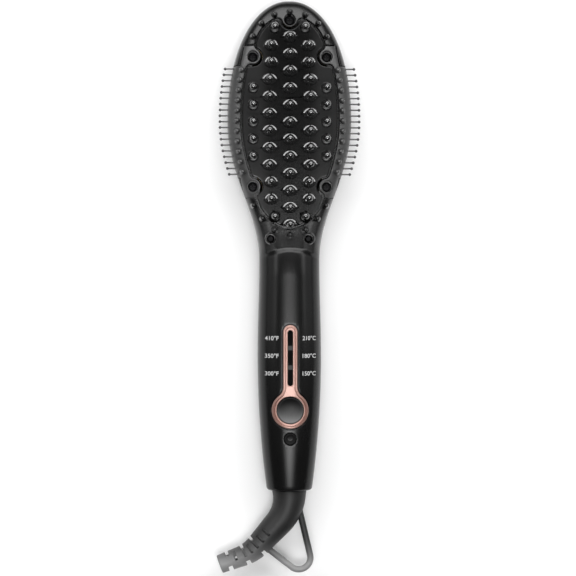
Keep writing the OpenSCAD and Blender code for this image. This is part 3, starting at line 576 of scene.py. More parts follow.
def coloured_plastic(name, colour, roughness=0.4):
    return moulded(name, 1.0, roughness, tint=colour)


def button_plastic():
    """Black keys; the dish of the power key is painted grey toward the handle's end, a painted
    reflection of light in the dish.
    """
    finish = Finish("button black plastic", Specular_IOR_Level=0.12)
    fine = finish.noise(0.25, 3)
    brushed = finish.noise(0.5, 3, 0.6, stretch=(1, 0.1, 1))
    along = finish.axis("Y")
    # Painted reflection: the power key's dish is painted grey toward the handle's end, standing in
    # for light caught in the dish.
    painted_dish_sheen = (((y_power + 6) * MM - along) * 85).clamp() ** 2.0
    power_key = ((along - (y_power - 9) * MM) * 2000).clamp()
    share = painted_dish_sheen * power_key * (brushed * 0.3 + 0.85)
    return finish.surface(share, grey(0.003), grey(0.16), fine * 0.08 + 0.36, fine, 0.003)


def boot_rubber():
    """Black rubber, painted paler toward the boot's free end as a painted highlight."""
    finish = Finish("boot rubber", Specular_IOR_Level=0.42)
    fine = finish.noise(0.25, 3, 0.65)
    broad = finish.noise(9, 3)
    # Painted highlight: the colour turns pale grey over the last part of the boot, standing in for
    # light on its free end.
    painted_end_highlight = (((y_end - 18.8) * MM - finish.axis("Y")) * 50).clamp() ** 3.0
    rough = fine * 0.12 + broad * 0.08 + 0.4
    return finish.surface(painted_end_highlight + broad * 0.03, grey(0.009), grey(0.25), rough, fine, 0.012)


def plate_enamel():
    """Black ceramic-filled enamel: hard, finely speckled, glossiest on the teeth, and painted paler
    toward its sides as a painted reflection.
    """
    finish = Finish("plate enamel", Specular_IOR_Level=0.3, Coat_Roughness=0.06, Coat_IOR=2.0)
    speck = ((0.3 - finish.cells(0.55)) * 3.9).clamp()
    fine = finish.noise(0.5, 3)
    flow = finish.noise(14)
    # Painted reflection: the dark colour turns paler toward the plate's sides, standing in for
    # light off a crowned plate.
    side = finish.axis("X")
    edge = (side * side * 5600 - 0.3).clamp()
    side_sheen_dark = finish.mix_colour(edge, grey(0.003), grey(0.02))
    over_plate = finish.axis("Z") - (plate_z + 0.7) * MM
    finish.feed("Coat Weight", (over_plate * 4000).clamp())
    rough = flow * 0.05 + fine * 0.04 + 0.14
    relief = flow * 0.5 + fine * 0.05
    return finish.surface(speck * 0.3 + fine * 0.2, side_sheen_dark, grey(0.01), rough, relief, 0.004)


def cap_resin():
    """Heat-proof caps on the teeth."""
    finish = Finish("cap resin", Coat_Weight=1.0, Coat_Roughness=0.1, Coat_IOR=1.9)
    fine = finish.noise(0.2)
    return finish.surface(fine, grey(0.003), grey(0.008), fine * 0.08 + 0.12, fine, 0.004)


def metal(name, colour, roughness, stretch=(1, 1, 1), scratch=0.5, depth=0.003, coat=0):
    """Metal with fine drawn or brushed marks."""
    finish = Finish(name, Metallic=1.0, Coat_Weight=coat, Coat_Roughness=0.3)
    marks = finish.noise(scratch, 4, 0.7, stretch=stretch)
    cloud = finish.noise(7)
    rough = marks * 0.14 + cloud * 0.05 + (roughness - 0.08)
    return finish.surface(marks * 0.6 + cloud * 0.4, scaled(colour, 0.86),
                          scaled(colour, 1.08), rough, marks, depth)


def smoked_lens():
    finish = Finish("smoked lens", Specular_IOR_Level=0.01)
    fine = finish.noise(1.2)
    return finish.surface(fine, grey(0.001), grey(0.003), fine * 0.05 + 0.3)


def printed_ink(name, shade):
    finish = Finish(name, Specular_IOR_Level=0.3)
    fine = finish.noise(0.15, 3, 0.7)
    rough = fine * 0.15 + 0.5
    return finish.surface(fine, grey(shade * 0.9), grey(shade * 1.06), rough, fine, 0.003)


def ceramic():
    finish = Finish("heater ceramic")
    pores = finish.cells(0.4)
    fine = finish.noise(1.5, 3)
    return finish.surface(fine, (0.62, 0.60, 0.55, 1), (0.82, 0.80, 0.74, 1),
                          pores * 0.2 + 0.6, pores, 0.03)


def mica():
    finish = Finish("mica sheet", Specular_IOR_Level=0.6)
    flakes = finish.cells(1.6)
    fine = finish.noise(0.8, 3)
    return finish.surface(flakes * 0.7 + fine * 0.3, (0.42, 0.31, 0.13, 1),
                          (0.74, 0.62, 0.36, 1), flakes * 0.3 + 0.25, flakes, 0.02)


def board_lacquer():
    """Green solder mask with faint copper tracks under it."""
    finish = Finish("board lacquer", Coat_Weight=0.4, Coat_Roughness=0.15)
    tracks = finish.node("ShaderNodeTexBrick", {"offset": 0.5}, {
        "Vector": finish.place, "Scale": 260.0, "Mortar Size": 0.03}, output="Fac")
    fine = finish.noise(0.6)
    return finish.surface(tracks * 0.8 + fine * 0.2, (0.01, 0.11, 0.035, 1),
                          (0.03, 0.2, 0.07, 1), fine * 0.1 + 0.35, tracks, 0.02)


def clear_guide():
    finish = Finish("light guide", Transmission_Weight=0.85, IOR=1.49)
    fine = finish.noise(0.8)
    return finish.surface(fine, (0.86, 0.9, 0.92, 1), (0.95, 0.97, 0.98, 1),
                          fine * 0.06 + 0.08)


# ---------- outlines on the plan ----------

def dense(outline, step=0.8):
    """A closed outline with points added so that none stand further apart than a step."""
    points = []
    for a, b in zip(outline, outline[1:] + outline[:1]):
        count = max(1, math.ceil(math.dist(a, b) / step - 0.001))
        points += [(mix(a[0], b[0], i / count), mix(a[1], b[1], i / count)) for i in range(count)]
    return points


def mirrored(side):
    """A whole outline from its right side, which starts and ends on the middle line."""
    return side + other_side(place for place in reversed(side) if place[0] > 0.01)


def plate_w(y, out):
    """Half width of the plate, its outline moved out by an amount."""
    width = half_w(y) - rim_w + rim_ease * blend((y_lower_screw - y) / notch_r) + out
    if y > top_arc_y:
        r = top_arc_r + out
        width = min(width, r * arch((y - top_arc_y) / r, 2))
    if y < y_low_end:
        width = min(width, (low_end_w + out) * arch((y_low_end - y) / (low_end_l + out), 1.7))
    return width


def plate_outline(out):
    last = y_plate_top + out
    reach = low_end_l + out
    places = [y_low_end - reach * math.cos(math.radians(4.5 * i)) for i in range(20)]
    places += [mix(y_low_end, top_arc_y, i / 70) for i in range(71)]
    places += [mix(top_arc_y, last, math.sin(math.radians(5 * i))) for i in range(1, 19)]
    return dense(mirrored([(plate_w(y, out), y) for y in places]))


def arc_points(x, y, r, start, end, count):
    angles = [math.radians(mix(start, end, i / count)) for i in range(count + 1)]
    return [(x + r * math.cos(a), y + r * math.sin(a)) for a in angles]


def bearing(a, b):
    return math.degrees(math.atan2(b[1] - a[1], b[0] - a[0]))


def horn(hole, reach):
    """Middle of the rounded corner between the plate's outline and a notch."""
    near = hole[1]
    far = hole[1] + reach
    for _ in range(24):
        y = (near + far) / 2
        middle = (plate_w(y, -horn_r), y)
        if math.dist(middle, hole) > notch_r + horn_r:
            far = y
        else:
            near = y
    return middle


def notched_outline(out):
    """The plate's outline with its notches round the bosses, their corners rounded."""
    r = horn_r + out
    reach = low_end_l + out

    def facing(middle):
        y = middle[1]
        return math.degrees(math.atan2(plate_w(y - 0.05, 0) - plate_w(y + 0.05, 0), 0.1))

    def touch(middle):
        return middle[1] + r * math.sin(math.radians(facing(middle)))

    def corner(middle, start, end):
        return arc_points(*middle, r, start, end, 8)

    def notch(hole):
        below = horn(hole, -9)
        upper = horn(hole, 9)
        start = bearing(hole, below) + 360
        points = corner(below, facing(below), bearing(below, hole))
        points += arc_points(*hole, notch_r - out, start, bearing(hole, upper), 26)[1:]
        points += corner(upper, bearing(upper, hole), facing(upper))[1:]
        return touch(below), points, touch(upper)

    def flank(start, end, count):
        return [(plate_w(y, out), y) for y in spread(start, end, count)[1:]]

    low_start, low_notch, low_end = notch((screw_x, y_lower_screw))
    up_start, up_notch, up_end = notch((screw_x, y_upper_screw))
    top = (0, y_top_screw)
    last = horn(top, -9)
    turn = math.acos((y_low_end - low_start) / reach)
    low_curve = [y_low_end - reach * math.cos(turn * i / 30) for i in range(1, 30)]
    side = [(0, y_low_end - reach)] + [(plate_w(y, out), y) for y in low_curve]
    side += low_notch + flank(low_end, up_start, 70)
    side += up_notch + flank(up_end, touch(last), 24)
    side += corner(last, facing(last), bearing(last, top))
    side += arc_points(*top, notch_r - out, bearing(top, last), -90, 14)[1:]
    return dense(mirrored(side))


def bezel_outline(out=0.0):
    """A stem with a round top that flares into a ring."""
    half = 3.8
    flare_r = 6.1
    ring_r = 9.7
    flare_x = half + flare_r
    flare_y = y_power + math.sqrt((ring_r + flare_r) ** 2 - flare_x ** 2)
    meet = math.degrees(math.atan2(flare_y - y_power, flare_x))
    side = arc_points(0, y_bezel - half, half + out, 90, 0, 14)
    side += arc_points(flare_x, flare_y, flare_r - out, 180, 180 + meet, 14)
    side += arc_points(0, y_power, ring_r + out, meet, -90, 40)[1:]
    return dense(mirrored(side), 0.6)


def slot_outline():
    r = slot_w / 2
    top_end = arc_points(0, y_slot - r, r, 0, 180, 12)
    return dense(top_end + arc_points(0, y_slot - slot_l + r, r, 180, 360, 12), 0.6)


def power_hole():
    return circle(0, y_power, power_hole_r, 96)


def comb_outline(inset):
    """The right comb's region on the plan."""
    x_in = screw_x - notch_r
    x_end = screw_x + 4.9 - inset
    x_step = screw_x + 7 - inset
    y_top = y_upper_screw + 6.2 - inset
    y_step_top = y_upper_screw - 4.5 - inset
    y_step_low = y_lower_screw + 4.5 + inset
    y_low = y_lower_screw - 6.2 + inset
    return dense([
        (x_in, y_top), (x_in, y_low), (x_end, y_low), (x_step, y_step_low),
        (head_w, y_step_low), (head_w, y_step_top), (x_step, y_step_top), (x_end, y_top)])


def lens(half_l, half_width, z, count=14):
    """A ring of points: two arcs that meet in points left and right."""
    r = (half_l ** 2 + half_width ** 2) / (2 * half_width)
    reach = math.asin(min(1, half_l / r))
    angles = [mix(reach, -reach, i / count) for i in range(count + 1)]
    upper = [(r * math.sin(a), r * math.cos(a) - r + half_width, z) for a in angles]
    return upper + [(-x, -y, z) for x, y, z in upper[1:]]


# ---------- body halves ----------

def half_section(y, width, height, way):
    """Points over one half of the body's section, closer together near the seam."""
    steps = 72
    power = 2 / square(y)
    row = []
    for i in range(steps + 1):
        t = i / steps
        angle = math.pi * (t - 0.8 * math.sin(2 * math.pi * t) / (2 * math.pi))
        side = abs(math.cos(angle)) ** power
        x = math.copysign(width * side, math.cos(angle))
        lift = front_h(y, side) - front_h(y) if way > 0 else 0
        z = seam_z + way * (height + lift) * abs(math.sin(angle)) ** power
        row.append((x, y, max(0, z)))
    return row


def half_depth(y, way):
    return front_h(y) if way > 0 else back_h(y)


def wall_section(y, way, inset=0.0):
    """A closed ring: the outside of one half of the body, then its inside."""
    line_d = 0.2
    width = max(0, half_w(y) - inset)
    height = max(0, half_depth(y, way) - inset)
    outside = half_section(y, width, height, way)
    if width > line_d:
        for i in (0, -1):
            x, _, z = outside[i]
            outside[i] = (x * (1 - line_d / width), y, z)
    if y > y_wide:
        in_w = half_w(y) * (1 - 2 * wall / head_w)
        in_h = half_depth(y, way) * (1 - wall / half_depth(y_wide, way))
    else:
        in_w = half_w(y) - wall
        in_h = half_depth(y, way) - wall
    in_y = y_end + (y - y_end) * (y_tip - wall - y_end) / (y_tip - y_end)
    inside = [(x, in_y, z) for x, _, z in half_section(y, in_w, in_h, way)]
    ring = outside + inside[::-1]
    return ring + ring[:1]


# Places along the brush where the body's section is drawn.
end_round = 1.3
stations = spread(y_end + end_round, y_barrel, 44)
stations += spread(y_barrel, y_neck - 8, 26)
stations += spread(y_neck - 8, y_neck + 18, 44)
stations += spread(y_neck + 18, y_wide, 36)
stations += [y_wide + head_rise * math.sin(math.radians(2 * i)) for i in range(46)]


def half_housing(name, way):
    """One half of the body as a wall, with a rounded rim at the handle's end."""
    rows = []
    for i in range(5):
        angle = math.radians(18 * i)
        place = y_end + end_round * (1 - math.cos(angle))
        rows.append(wall_section(place, way, end_round * (1 - math.sin(angle))))
    return skin(name, rows + [wall_section(y, way) for y in stations])


def front_solid(first, last, grow=0.0):
    """The front filled in from the seam up, between two places and grown by an amount."""
    rows = []
    for y in [first] + [y for y in stations if first < y < last] + [last]:
        row = half_section(y, half_w(y) + grow, front_h(y) + grow, 1)
        rows.append(row + row[:1])
    return skin("front solid", rows)


def screw_bore(x, y, r):
    """A counterbore from the screw's seat up, its edge rounded, and the hole under it."""
    bore = flared("bore", circle(x, y, r), screw_z, 0.35)
    return [bore, prism("through", circle(x, y, 1.45, 24), seat_z - 3, seat_z + 3)]


def ball_end(r, z, first=90, count=6):
    """Profile over a ball whose middle is at a height, from an angle off the top down to it."""
    angles = [math.radians(mix(first, 0, i / count)) for i in range(count + 1)]
    return [(r * math.sin(a), z + r * math.cos(a)) for a in angles]


def pin(x, y, foot, tip_r, tip_h, sides):
    """A round-tipped pin on the front, its filleted foot a list of (radius, rise)."""
    z = face_z(x, y)
    profile = [(r, z + rise) for r, rise in foot] + ball_end(tip_r, z + tip_h, 84)
    return turned("pin", profile, (x, y), sides)


def frame_pins():
    """Short pins along the head's two arcs."""
    r = top_arc_r + plate_gap + 1.7
    angles = [math.radians(22.8 * i) for i in range(-3, 4)]
    places = [(r * math.sin(a), top_arc_y + r * math.cos(a)) for a in angles]
    low_arc = [(0, y_tip - 123.9), (8.1, y_tip - 121.3), (14.4, y_tip - 115.3),
               (19.1, y_tip - 108.4)]
    places += low_arc + other_side(low_arc[1:])
    foot = [(1.85, -1.4), (1.82, -0.1), (1.68, 0.16), (1.57, 0.5)]
    return joined("pins", [pin(x, y, foot, 1.2, 3.4, 28) for x, y in places])


def make_front():
    """The front half of the body, cut for the plate, combs, screws and controls."""
    piece = half_housing("front_housing", 1)
    ring = prism("ring", plate_outline(plate_gap + 1.5), seat_z - 0.5, above - 5)
    cut(ring, prism("hole", notched_outline(plate_gap), seat_z - 1, above))
    cut(ring, *[prism("side boss", circle(x, y, notch_r), seat_z - 1, above)
                for x, y in head_screws[1:]])
    cut(ring, front_solid(y_neck - 10, y_tip - 1, -0.05), how="INTERSECT")
    add(piece, ring)
    bosses = [prism("boss", circle(x, y, 3.3), seat_z, face_z(x, y) - 0.3) for x, y in neck_screws]
    add(piece, *bosses)
    cut(piece, flared("opening", notched_outline(plate_gap), seat_z, 0.5))
    deck_side = [(half_w(y) - wall / 2, y) for y in spread(plate_low - 2.5, y_tip - 5, 60)]
    deck = prism("deck", dense(mirrored(deck_side)), seat_z - 1.5, seat_z)
    cut(deck, prism("deck hole", plate_outline(-2), seat_z - 3, seat_z + 1))
    cut(deck, *[prism("post hole", circle(x, y, 3.8), seat_z - 3, seat_z + 1)
                for x, y in head_screws])
    add(piece, deck)
    comb_seat = flared("comb seat", comb_outline(0), seat_z, 0.4)
    cut(piece, copy_of(comb_seat, "left comb seat", flip=True), comb_seat)
    cut(piece, *screw_bore(0, y_top_screw, bore_r))
    for x, y in neck_screws:
        cut(piece, *screw_bore(x, y, neck_bore_r))
    seat = flared("seat", bezel_outline(0.3), seam_z + 4, 0.4)
    cut(piece, cut(seat, front_solid(y_small - 8, y_neck, -bezel_seat)))
    cut(piece, prism("slot", slot_outline(), seam_z + 6, above))
    cut(piece, prism("power hole", power_hole(), seam_z + 6, above))
    cut(piece, flared("small hole", circle(0, y_small, small_hole_r), seam_z + 6, 0.25))
    add(piece, frame_pins())
    dress(piece, "body", "satin_black", "front_shell")


def side_pin(y):
    """A fine pin that stands out over the head's edge and ends in a ball."""
    edge = half_w(y)
    profile = [(0.4, edge - 1.5), (0.4, edge + 3.32)] + ball_end(0.75, edge + 4, 148, 8)
    rings = [((x, y, seat_z + 1.6), 0, max(r, 0.001)) for r, x in profile]
    return ringed("side pin", rings, 16)


def make_combs():
    """The side combs: an insert with upright pins and a row of side pins each."""
    piece = flared("right_side_comb_insert", comb_outline(0.55), seat_z, -0.35)
    cut(piece, flared("opening", notched_outline(plate_gap), seat_z - 1, 0.5, above + 1))
    cut(piece, front_solid(y_lower_screw - 16, y_upper_screw + 16), how="INTERSECT")
    for x, y in side_screws:
        cut(piece, *screw_bore(x, y, bore_r))
    top = y_upper_screw - 6.2
    bottom = y_lower_screw + 6.6
    foot = [(1.8, -1.2), (1.78, -0.1), (1.62, 0.15), (1.5, 0.5)]
    upright = []
    for i in range(11):
        y = mix(top - 0.9, bottom + 1.2, i / 10)
        x = half_w(y) - mix(5.1, 3.4, (i / 10) ** 4)
        upright.append(pin(x, y, foot, 1.15, 3.2, 24))
    add(piece, joined("uprights", upright))
    side_pins = [side_pin(mix(top, bottom, i / 18)) for i in range(19)]
    add(piece, joined("side pins", side_pins))
    left = copy_of(piece, "left_side_comb_insert", flip=True)
    dress(piece, "body", "comb_black", "right_side_comb")
    dress(left, "body", "comb_black", "left_side_comb")


# ---------- plate, teeth and screws ----------

def tooth(kind):
    """A cast tooth: 0 is round, 1 has a short lens-shaped collar, 2 a long one with spurs."""
    foot = plate_z - 0.2
    r = 2.2 if kind else 2.7
    top_r = cap_r - 0.1
    profile = [
        (r + 0.6, foot - 0.3), (r + 0.5, foot + 0.22), (r + 0.2, foot + 0.36),
        (r - 0.02, foot + 0.7), (top_r, foot + tooth_h - 0.2), (top_r - 0.25, foot + tooth_h)]
    piece = turned("tooth", profile, sides=32)
    short_collar = [(3.6, 2.9, 3.4, 2.6)]
    long_collar = [(4.0, 2.9, 3.85, 2.65), (4.9, 1.3, 3.2, 0.55)]
    for foot_l, foot_w, top_l, top_w in ([], short_collar, long_collar)[kind]:
        levels = [
            (foot_l + 0.5, foot_w + 0.45, -0.3), (foot_l + 0.45, foot_w + 0.4, 0.22),
            (foot_l + 0.12, foot_w + 0.12, 0.36), (foot_l - 0.02, foot_w - 0.02, 0.75),
            (mix(foot_l, top_l, 0.95), mix(foot_w, top_w, 0.95), 4.4),
            (top_l - 0.1, top_w - 0.08, 4.66), (top_l * 0.78, top_w - top_l * 0.2, 4.9)]
        collar = skin("collar", [lens(a, b, foot + z) for a, b, z in levels])
        add(piece, collar)
    return piece


def column(x, rows):
    """Places of a column of teeth, with its mirror image where it stands off the middle line."""
    sides = (-1, 1) if x else (0,)
    return [(side * x, y_first_tooth - tooth_pitch * row) for side in sides for row in rows]


middle_teeth = column(0, range(tooth_rows))
inner_teeth = column(10.7, [i + 0.5 for i in range(2, tooth_rows - 4)])
outer_teeth = column(9.9, [0.5, 1.5, tooth_rows - 3.5, tooth_rows - 2.5])
round_teeth = column(8, [-0.5 - 0.3 / tooth_pitch, tooth_rows - 1.5 + 0.4 / tooth_pitch])
round_teeth += column(19.3, range(3, 8))
all_teeth = middle_teeth + inner_teeth + outer_teeth + round_teeth


def make_plate():
    """The heating plate, hollow from below, with its cast teeth."""
    roof = plate_z - 2.5
    rim = [(0, seat_z), (0, plate_z - 0.55), (-0.06, plate_z - 0.3), (-0.22, plate_z - 0.08),
           (-0.5, plate_z), (-0.7, plate_z)]
    piece = wrapped("toothed_plate", notched_outline(0), rim)
    cut(piece, prism("hollow", notched_outline(-1.6), seat_z - 1, roof))
    studs = [prism("stud", circle(0, y, 3, 32), 12, roof + 0.5) for y in (y_wide + 43, y_wide - 45)]
    add(piece, *studs)
    teeth = [copies(tooth(2), "long teeth", middle_teeth[:-1] + inner_teeth),
             copies(tooth(1), "short teeth", outer_teeth),
             copies(tooth(0), "round teeth", round_teeth)]
    add(piece, joined("teeth", teeth))
    last_tooth = copies(tooth(2), "last tooth", middle_teeth[-1:])
    keep = prism("keep", notched_outline(0), roof, plate_z + 5.5)
    upper = box("upper", (-40, -20, plate_z + 5), (40, 200, plate_z + 30))
    add(keep, upper)
    add(piece, cut(last_tooth, keep, how="INTERSECT"))
    dress(piece, "body", "plate_enamel", "heating_plate", smooth=17)


def make_caps():
    foot = plate_z - 0.2 + tooth_h
    ball = 2.05
    profile = [(1.6, foot), (1.88, foot + 0.06), (cap_r, foot + 0.28), (cap_r, foot + 0.95)]
    profile += ball_end(ball, foot + cap_h - ball, 76, 7)
    caps = copies(turned("cap", profile, sides=28), "pin_caps", all_teeth)
    dress(caps, "body", "cap_black", "tooth_caps")


def screw(head_r):
    """A cross-recessed screw with a shallow domed head and a threaded shank."""
    profile = [(0.3, screw_z - 10.5), (1.0, screw_z - 9.9)]
    for turn in spread(-9.4, -1.15, 11):
        profile += [(1.25, screw_z + turn), (1.02, screw_z + turn + 0.38)]
    profile += [(1.2, screw_z - 0.6), (1.2, screw_z), (head_r, screw_z)]
    dome = ((1, 1.2), (1 - 0.12 / head_r, 1.45), (0.8, 1.68), (0.45, 1.79), (0.01 / head_r, 1.8))
    profile += [(head_r * share, screw_z + rise) for share, rise in dome]
    piece = turned("screw", profile, sides=40)
    arm = head_r * 0.58
    for x, y in ((arm, 0.3), (0.3, arm)):
        cut(piece, box("recess", (-x, -y, screw_z + 0.75), (x, y, screw_z + 3)))
    middle = box("recess", (-0.55, -0.55, screw_z + 0.6), (0.55, 0.55, screw_z + 3))
    middle.data.transform(Matrix.Rotation(math.radians(45), 4, "Z"))
    return cut(piece, middle)


def make_screws():
    for kind, head_r, places in (("head", 2.5, head_screws), ("neck", 2.05, neck_screws)):
        screws = copies(screw(head_r), f"{kind}_cover_screws", places)
        dress(screws, "body", "screw_steel", f"{kind}_screws")


# ---------- controls ----------

def make_bezel():
    """Thermometer-shaped trim: a raised rim, a groove, and a lip round slot and button."""

    def proud(rise):
        return over_face(bezel_rise + rise)

    piece = front_solid(y_small - 8, y_neck, bezel_rise)
    edge = [(0, seam_z), (0, proud(-0.4)), (-0.06, proud(-0.2)), (-0.2, proud(-0.06)),
            (-0.45, proud(0.01)), (-0.46, above - 1)]
    cut(piece, wrapped("edge", bezel_outline(), edge), how="INTERSECT")
    cut(piece, front_solid(y_small - 14, y_neck + 4, -bezel_seat))
    groove = [(-0.95, proud(1)), (-0.95, proud(0.02)), (-1.22, proud(-0.5)),
              (-1.38, proud(-0.5)), (-1.65, proud(0.02)), (-1.65, proud(1)), (-0.95, proud(1))]
    cut(piece, wrapped("groove", bezel_outline(), groove))
    lip = [(0, seam_z + 4), (0, proud(-0.3)), (0.06, proud(-0.12)), (0.22, proud(-0.02)),
           (0.3, proud(0.02)), (0.31, above)]
    for outline in (slot_outline(), power_hole()):
        cut(piece, wrapped("hole", outline, lip))
    piece.name = "bezel_trim"
    dress(piece, "body", "rose_gold", "bezel", smooth=40)


def button(name, y, r, rise, dish):
    """A round button with a dished top and a rounded rim, on the bar that keeps it in."""
    face = seam_z + front_h(y)
    foot = face - wall - 1.9
    top = face + rise
    rim = r - key_rim
    profile = [(r, foot), (r, top - 0.42), (r - 0.06, top - 0.2), (r - 0.22, top - 0.04)]
    for i in range(15):
        share = 1 - i / 14
        profile.append((max(rim * share, 0.01), top - dish * (1 - share ** 2)))
    piece = turned(name, profile, (0, y), 72)
    bar = box("bar", (-3, y - r - 1.5, foot), (3, y + r + 1.5, foot + 0.8), 0.15)
    return add(piece, bar)


def crescent():
    """A thin upturned arc printed in the small button's dish."""
    middle = y_small + 0.55
    outer = arc_points(0, middle, 1.25, 200, 340, 24)
    inner = arc_points(0, middle + 0.18, 1.17, 338, 202, 24)
    low_point = seam_z + front_h(y_small) - small_sunk - small_dish
    rim = small_key_r - key_rim

    def over_dish(rise):
        return lambda x, y: (low_point + rise
                             + small_dish * (math.hypot(x, y - y_small) / rim) ** 2)

    profile = [(0, over_dish(-0.1)), (0, over_dish(0.03))]
    return wrapped("small_button_mark", outer + inner, profile)


def make_buttons():
    power = button("power_key", y_power, power_key_r, bezel_rise, 1.2)
    dress(power, "power_key", "button_black", "power_button", smooth=45)
    small = button("mode_key", y_small, small_key_r, -small_sunk, small_dish)
    dress(small, "small_key", "button_black", "small_button", smooth=45)
    dress(crescent(), "small_key", "grey_bar", finish="grey_ink")


label_w = 7.1
label_h = 2.3
label_pitch = 9.25
y_first_label = y_tip - 178
label_texts = [("410°F", "210°C"), ("350°F", "180°C"), ("300°F", "150°C")]


def label(name, text, x, y):
    """Printed lettering laid on the handle's curve."""
    bpy.ops.object.text_add()
    letters = bpy.context.object.data
    letters.body = text
    letters.align_x = "CENTER"
    letters.align_y = "CENTER"
    letters.size = 1
    letters.extrude = 0.02
    letters.offset = 0.012
    letters.resolution_u = 4
    bpy.ops.object.convert(target="MESH")
    piece = named(name)
    with edited():
        bpy.ops.mesh.remove_doubles(threshold=0.0005)
        bpy.ops.mesh.quads_convert_to_tris()
        bpy.ops.mesh.subdivide(number_cuts=2)
    xs = [v.co.x for v in piece.data.vertices]
    ys = [v.co.y for v in piece.data.vertices]
    scale_x = label_w / (max(xs) - min(xs))
    scale_y = label_h / (max(ys) - min(ys))
    mid_x = (max(xs) + min(xs)) / 2
    mid_y = (max(ys) + min(ys)) / 2
    for v in piece.data.vertices:
        to_x = x + (v.co.x - mid_x) * scale_x
        to_y = y + (v.co.y - mid_y) * scale_y
        proud = 0.035 if v.co.z > 0 else -0.08
        v.co = Vector((to_x, to_y, face_z(to_x, to_y) + proud)) * MM
    return piece


def make_labels():
    for row, pair in enumerate(label_texts):
        for text, x in zip(pair, (-9.65, 10.0)):
            name = "scale_" + text.replace("°", "")
            piece = label(name, text, x, y_first_label - label_pitch * row)
            dress(piece, "body", "lamp_white", finish="white_ink")


# ---------- cord boot ----------

boot_y = y_end - 0.4
boot_foot_r = 9.15
boot_end_r = 4.9
collar_l = 2.2
bend_1 = 22
straight_1 = 15.3
bend_2 = 25
straight_2 = 11.7
boot_course = [(1, 0, collar_l), (6, 42, bend_1), (5, 0, straight_1), (5, 28, bend_2),
               (3, 0, straight_2)]
cord_r = 3.2


def ahead(place, heading, distance):
    turn = math.radians(heading)
    return (place[0] + distance * math.cos(turn), place[1] + distance * math.sin(turn))


def beside(place, heading, distance):
    """A place moved to the left of a heading."""
    return ahead(place, heading + 90, distance)


def bend(start, heading, r, angle):
    """A place on a right-hand bend."""
    return beside(beside(start, heading, -r), heading - angle, r)


def boot_place(step):
    """Middle, heading and radius of the boot at a step from 0 at the handle to 20 at its end.

    Its course is a list of (steps, angle, size): a bend has a radius, a straight a length.
    """
    place = (0, boot_y)
    heading = 270
    left = step
    for steps, angle, size in boot_course:
        share = min(1, left / steps)
        if angle:
            place = bend(place, heading, size, angle * share)
            heading -= angle * share
        else:
            place = ahead(place, heading, size * share)
        left -= steps
        if left <= 0:
            break
    return place, heading, mix(boot_foot_r, boot_end_r, (step / 20) ** 0.85)


def boot_cutter(step, along, across, up):
    """A block across the boot: how long it is along it, and its reach across it and in height."""
    place, heading, _ = boot_place(step)
    piece = box("cutter", (-along / 2, across[0], up[0]), (along / 2, across[1], up[1]), 0.2)
    turn = Matrix.Rotation(math.radians(heading), 4, "Z")
    piece.data.transform(Matrix.Translation(Vector((*place, seam_z)) * MM) @ turn)
    return piece


def hanging_loop():
    """A rounded wire of the boot's own rubber, from its outer side round a corner and back."""
    middle = (5, y_end - 36.1)
    corner_r = 6.2
    first = Vector(boot_place(7)[0]) + Vector((11.8, 3.2))
    last = Vector(boot_place(12)[0]) + Vector((4.5, -2.5))

    def touch(place, way):
        away = math.dist(place, middle)
        angle = math.atan2(place[1] - middle[1], place[0] - middle[0])
        return math.degrees(angle + way * math.acos(corner_r / away))

    corner = arc_points(*middle, corner_r, touch(first, -1), touch(last, 1) - 360, 24)
    path = [ahead(first, bearing(corner[0], first), 6), first] + corner
    path += [last, ahead(last, bearing(corner[-1], last), 3)]
    rings = []
    for i, (x, y) in enumerate(path):
        before = path[max(0, i - 1)]
        after = path[min(len(path) - 1, i + 1)]
        rings.append(((x, y, seam_z), bearing(before, after), 1.7))
    return ringed("loop", rings, 24)


def make_boot():
    """The bent strain relief with its slots, its nose in the handle, and its hanging loop."""
    rim = 0.35
    course = [boot_place(i / 8) for i in range(161)]
    start, heading, r = course[0]
    course.insert(0, (start, heading, r - rim))
    tip, heading, r = course[-1]
    course[-1:] = [(ahead(tip, heading, -rim), heading, r), (tip, heading, r - rim)]
    rings = [((*place, seam_z), turn, size) for place, turn, size in course]
    piece = ringed("strain_relief", rings, 56)
    nose_rings = [(-1.4, 6.5), (12.3, 6.5), (12.3, 4.5), (13.5, 4.5), (13.5, 6.5), (14.0, 6.5),
                  (14.2, 6.3), (14.2, 4.5), (19.7, 4.5), (20, 4.2)]
    nose = ringed("nose", [((0, y_end + along, seam_z), 90, r) for along, r in nose_rings], 48)
    add(piece, nose, hanging_loop())
    bore = [((*ahead(tip, heading, way), seam_z), heading, r)
            for way, r in ((-12, cord_r), (-0.4, cord_r), (1, cord_r + 1))]
    cut(piece, ringed("bore", bore, 32))
    for step in (9.6, 11.1, 12.6, 14.2, 15.8, 17.6):
        r = boot_place(step)[2]
        deep = 3.2 if step < 15 else 2.4
        for up in ((r - deep, r + 2), (-r - 2, deep - r)):
            cut(piece, boot_cutter(step, 1.4, (-4.4, 0.6), up))
    for step in (12.5, 15.8, 18.6):
        r = boot_place(step)[2]
        cut(piece, boot_cutter(step, 1.8, (-r - 2, 2.2 - r), (-12, 12)))
        cut(piece, boot_cutter(step + 0.1, 2.5, (r - 2.7, r + 2), (-12, 12)))
    dress(piece, "boot", "boot_rubber", "cord_boot", smooth=38)


# ---------- camera, lights and floor ----------

def softbox(name, place, size, radiance, target=(0, 0, 0.015)):
    """A rectangular panel of even light, turned to a target; 1 is as bright as white paper."""
    panel = bpy.data.lights.new(name, "AREA")
    panel.shape = "RECTANGLE"
    panel.size, panel.size_y = size
    panel.energy = radiance * math.pi * size[0] * size[1]
    lamp = bpy.data.objects.new(name, panel)
    lamp.location = place
    lamp.rotation_euler = (Vector(target) - Vector(place)).to_track_quat("-Z", "Y").to_euler()
    bpy.context.scene.collection.objects.link(lamp)


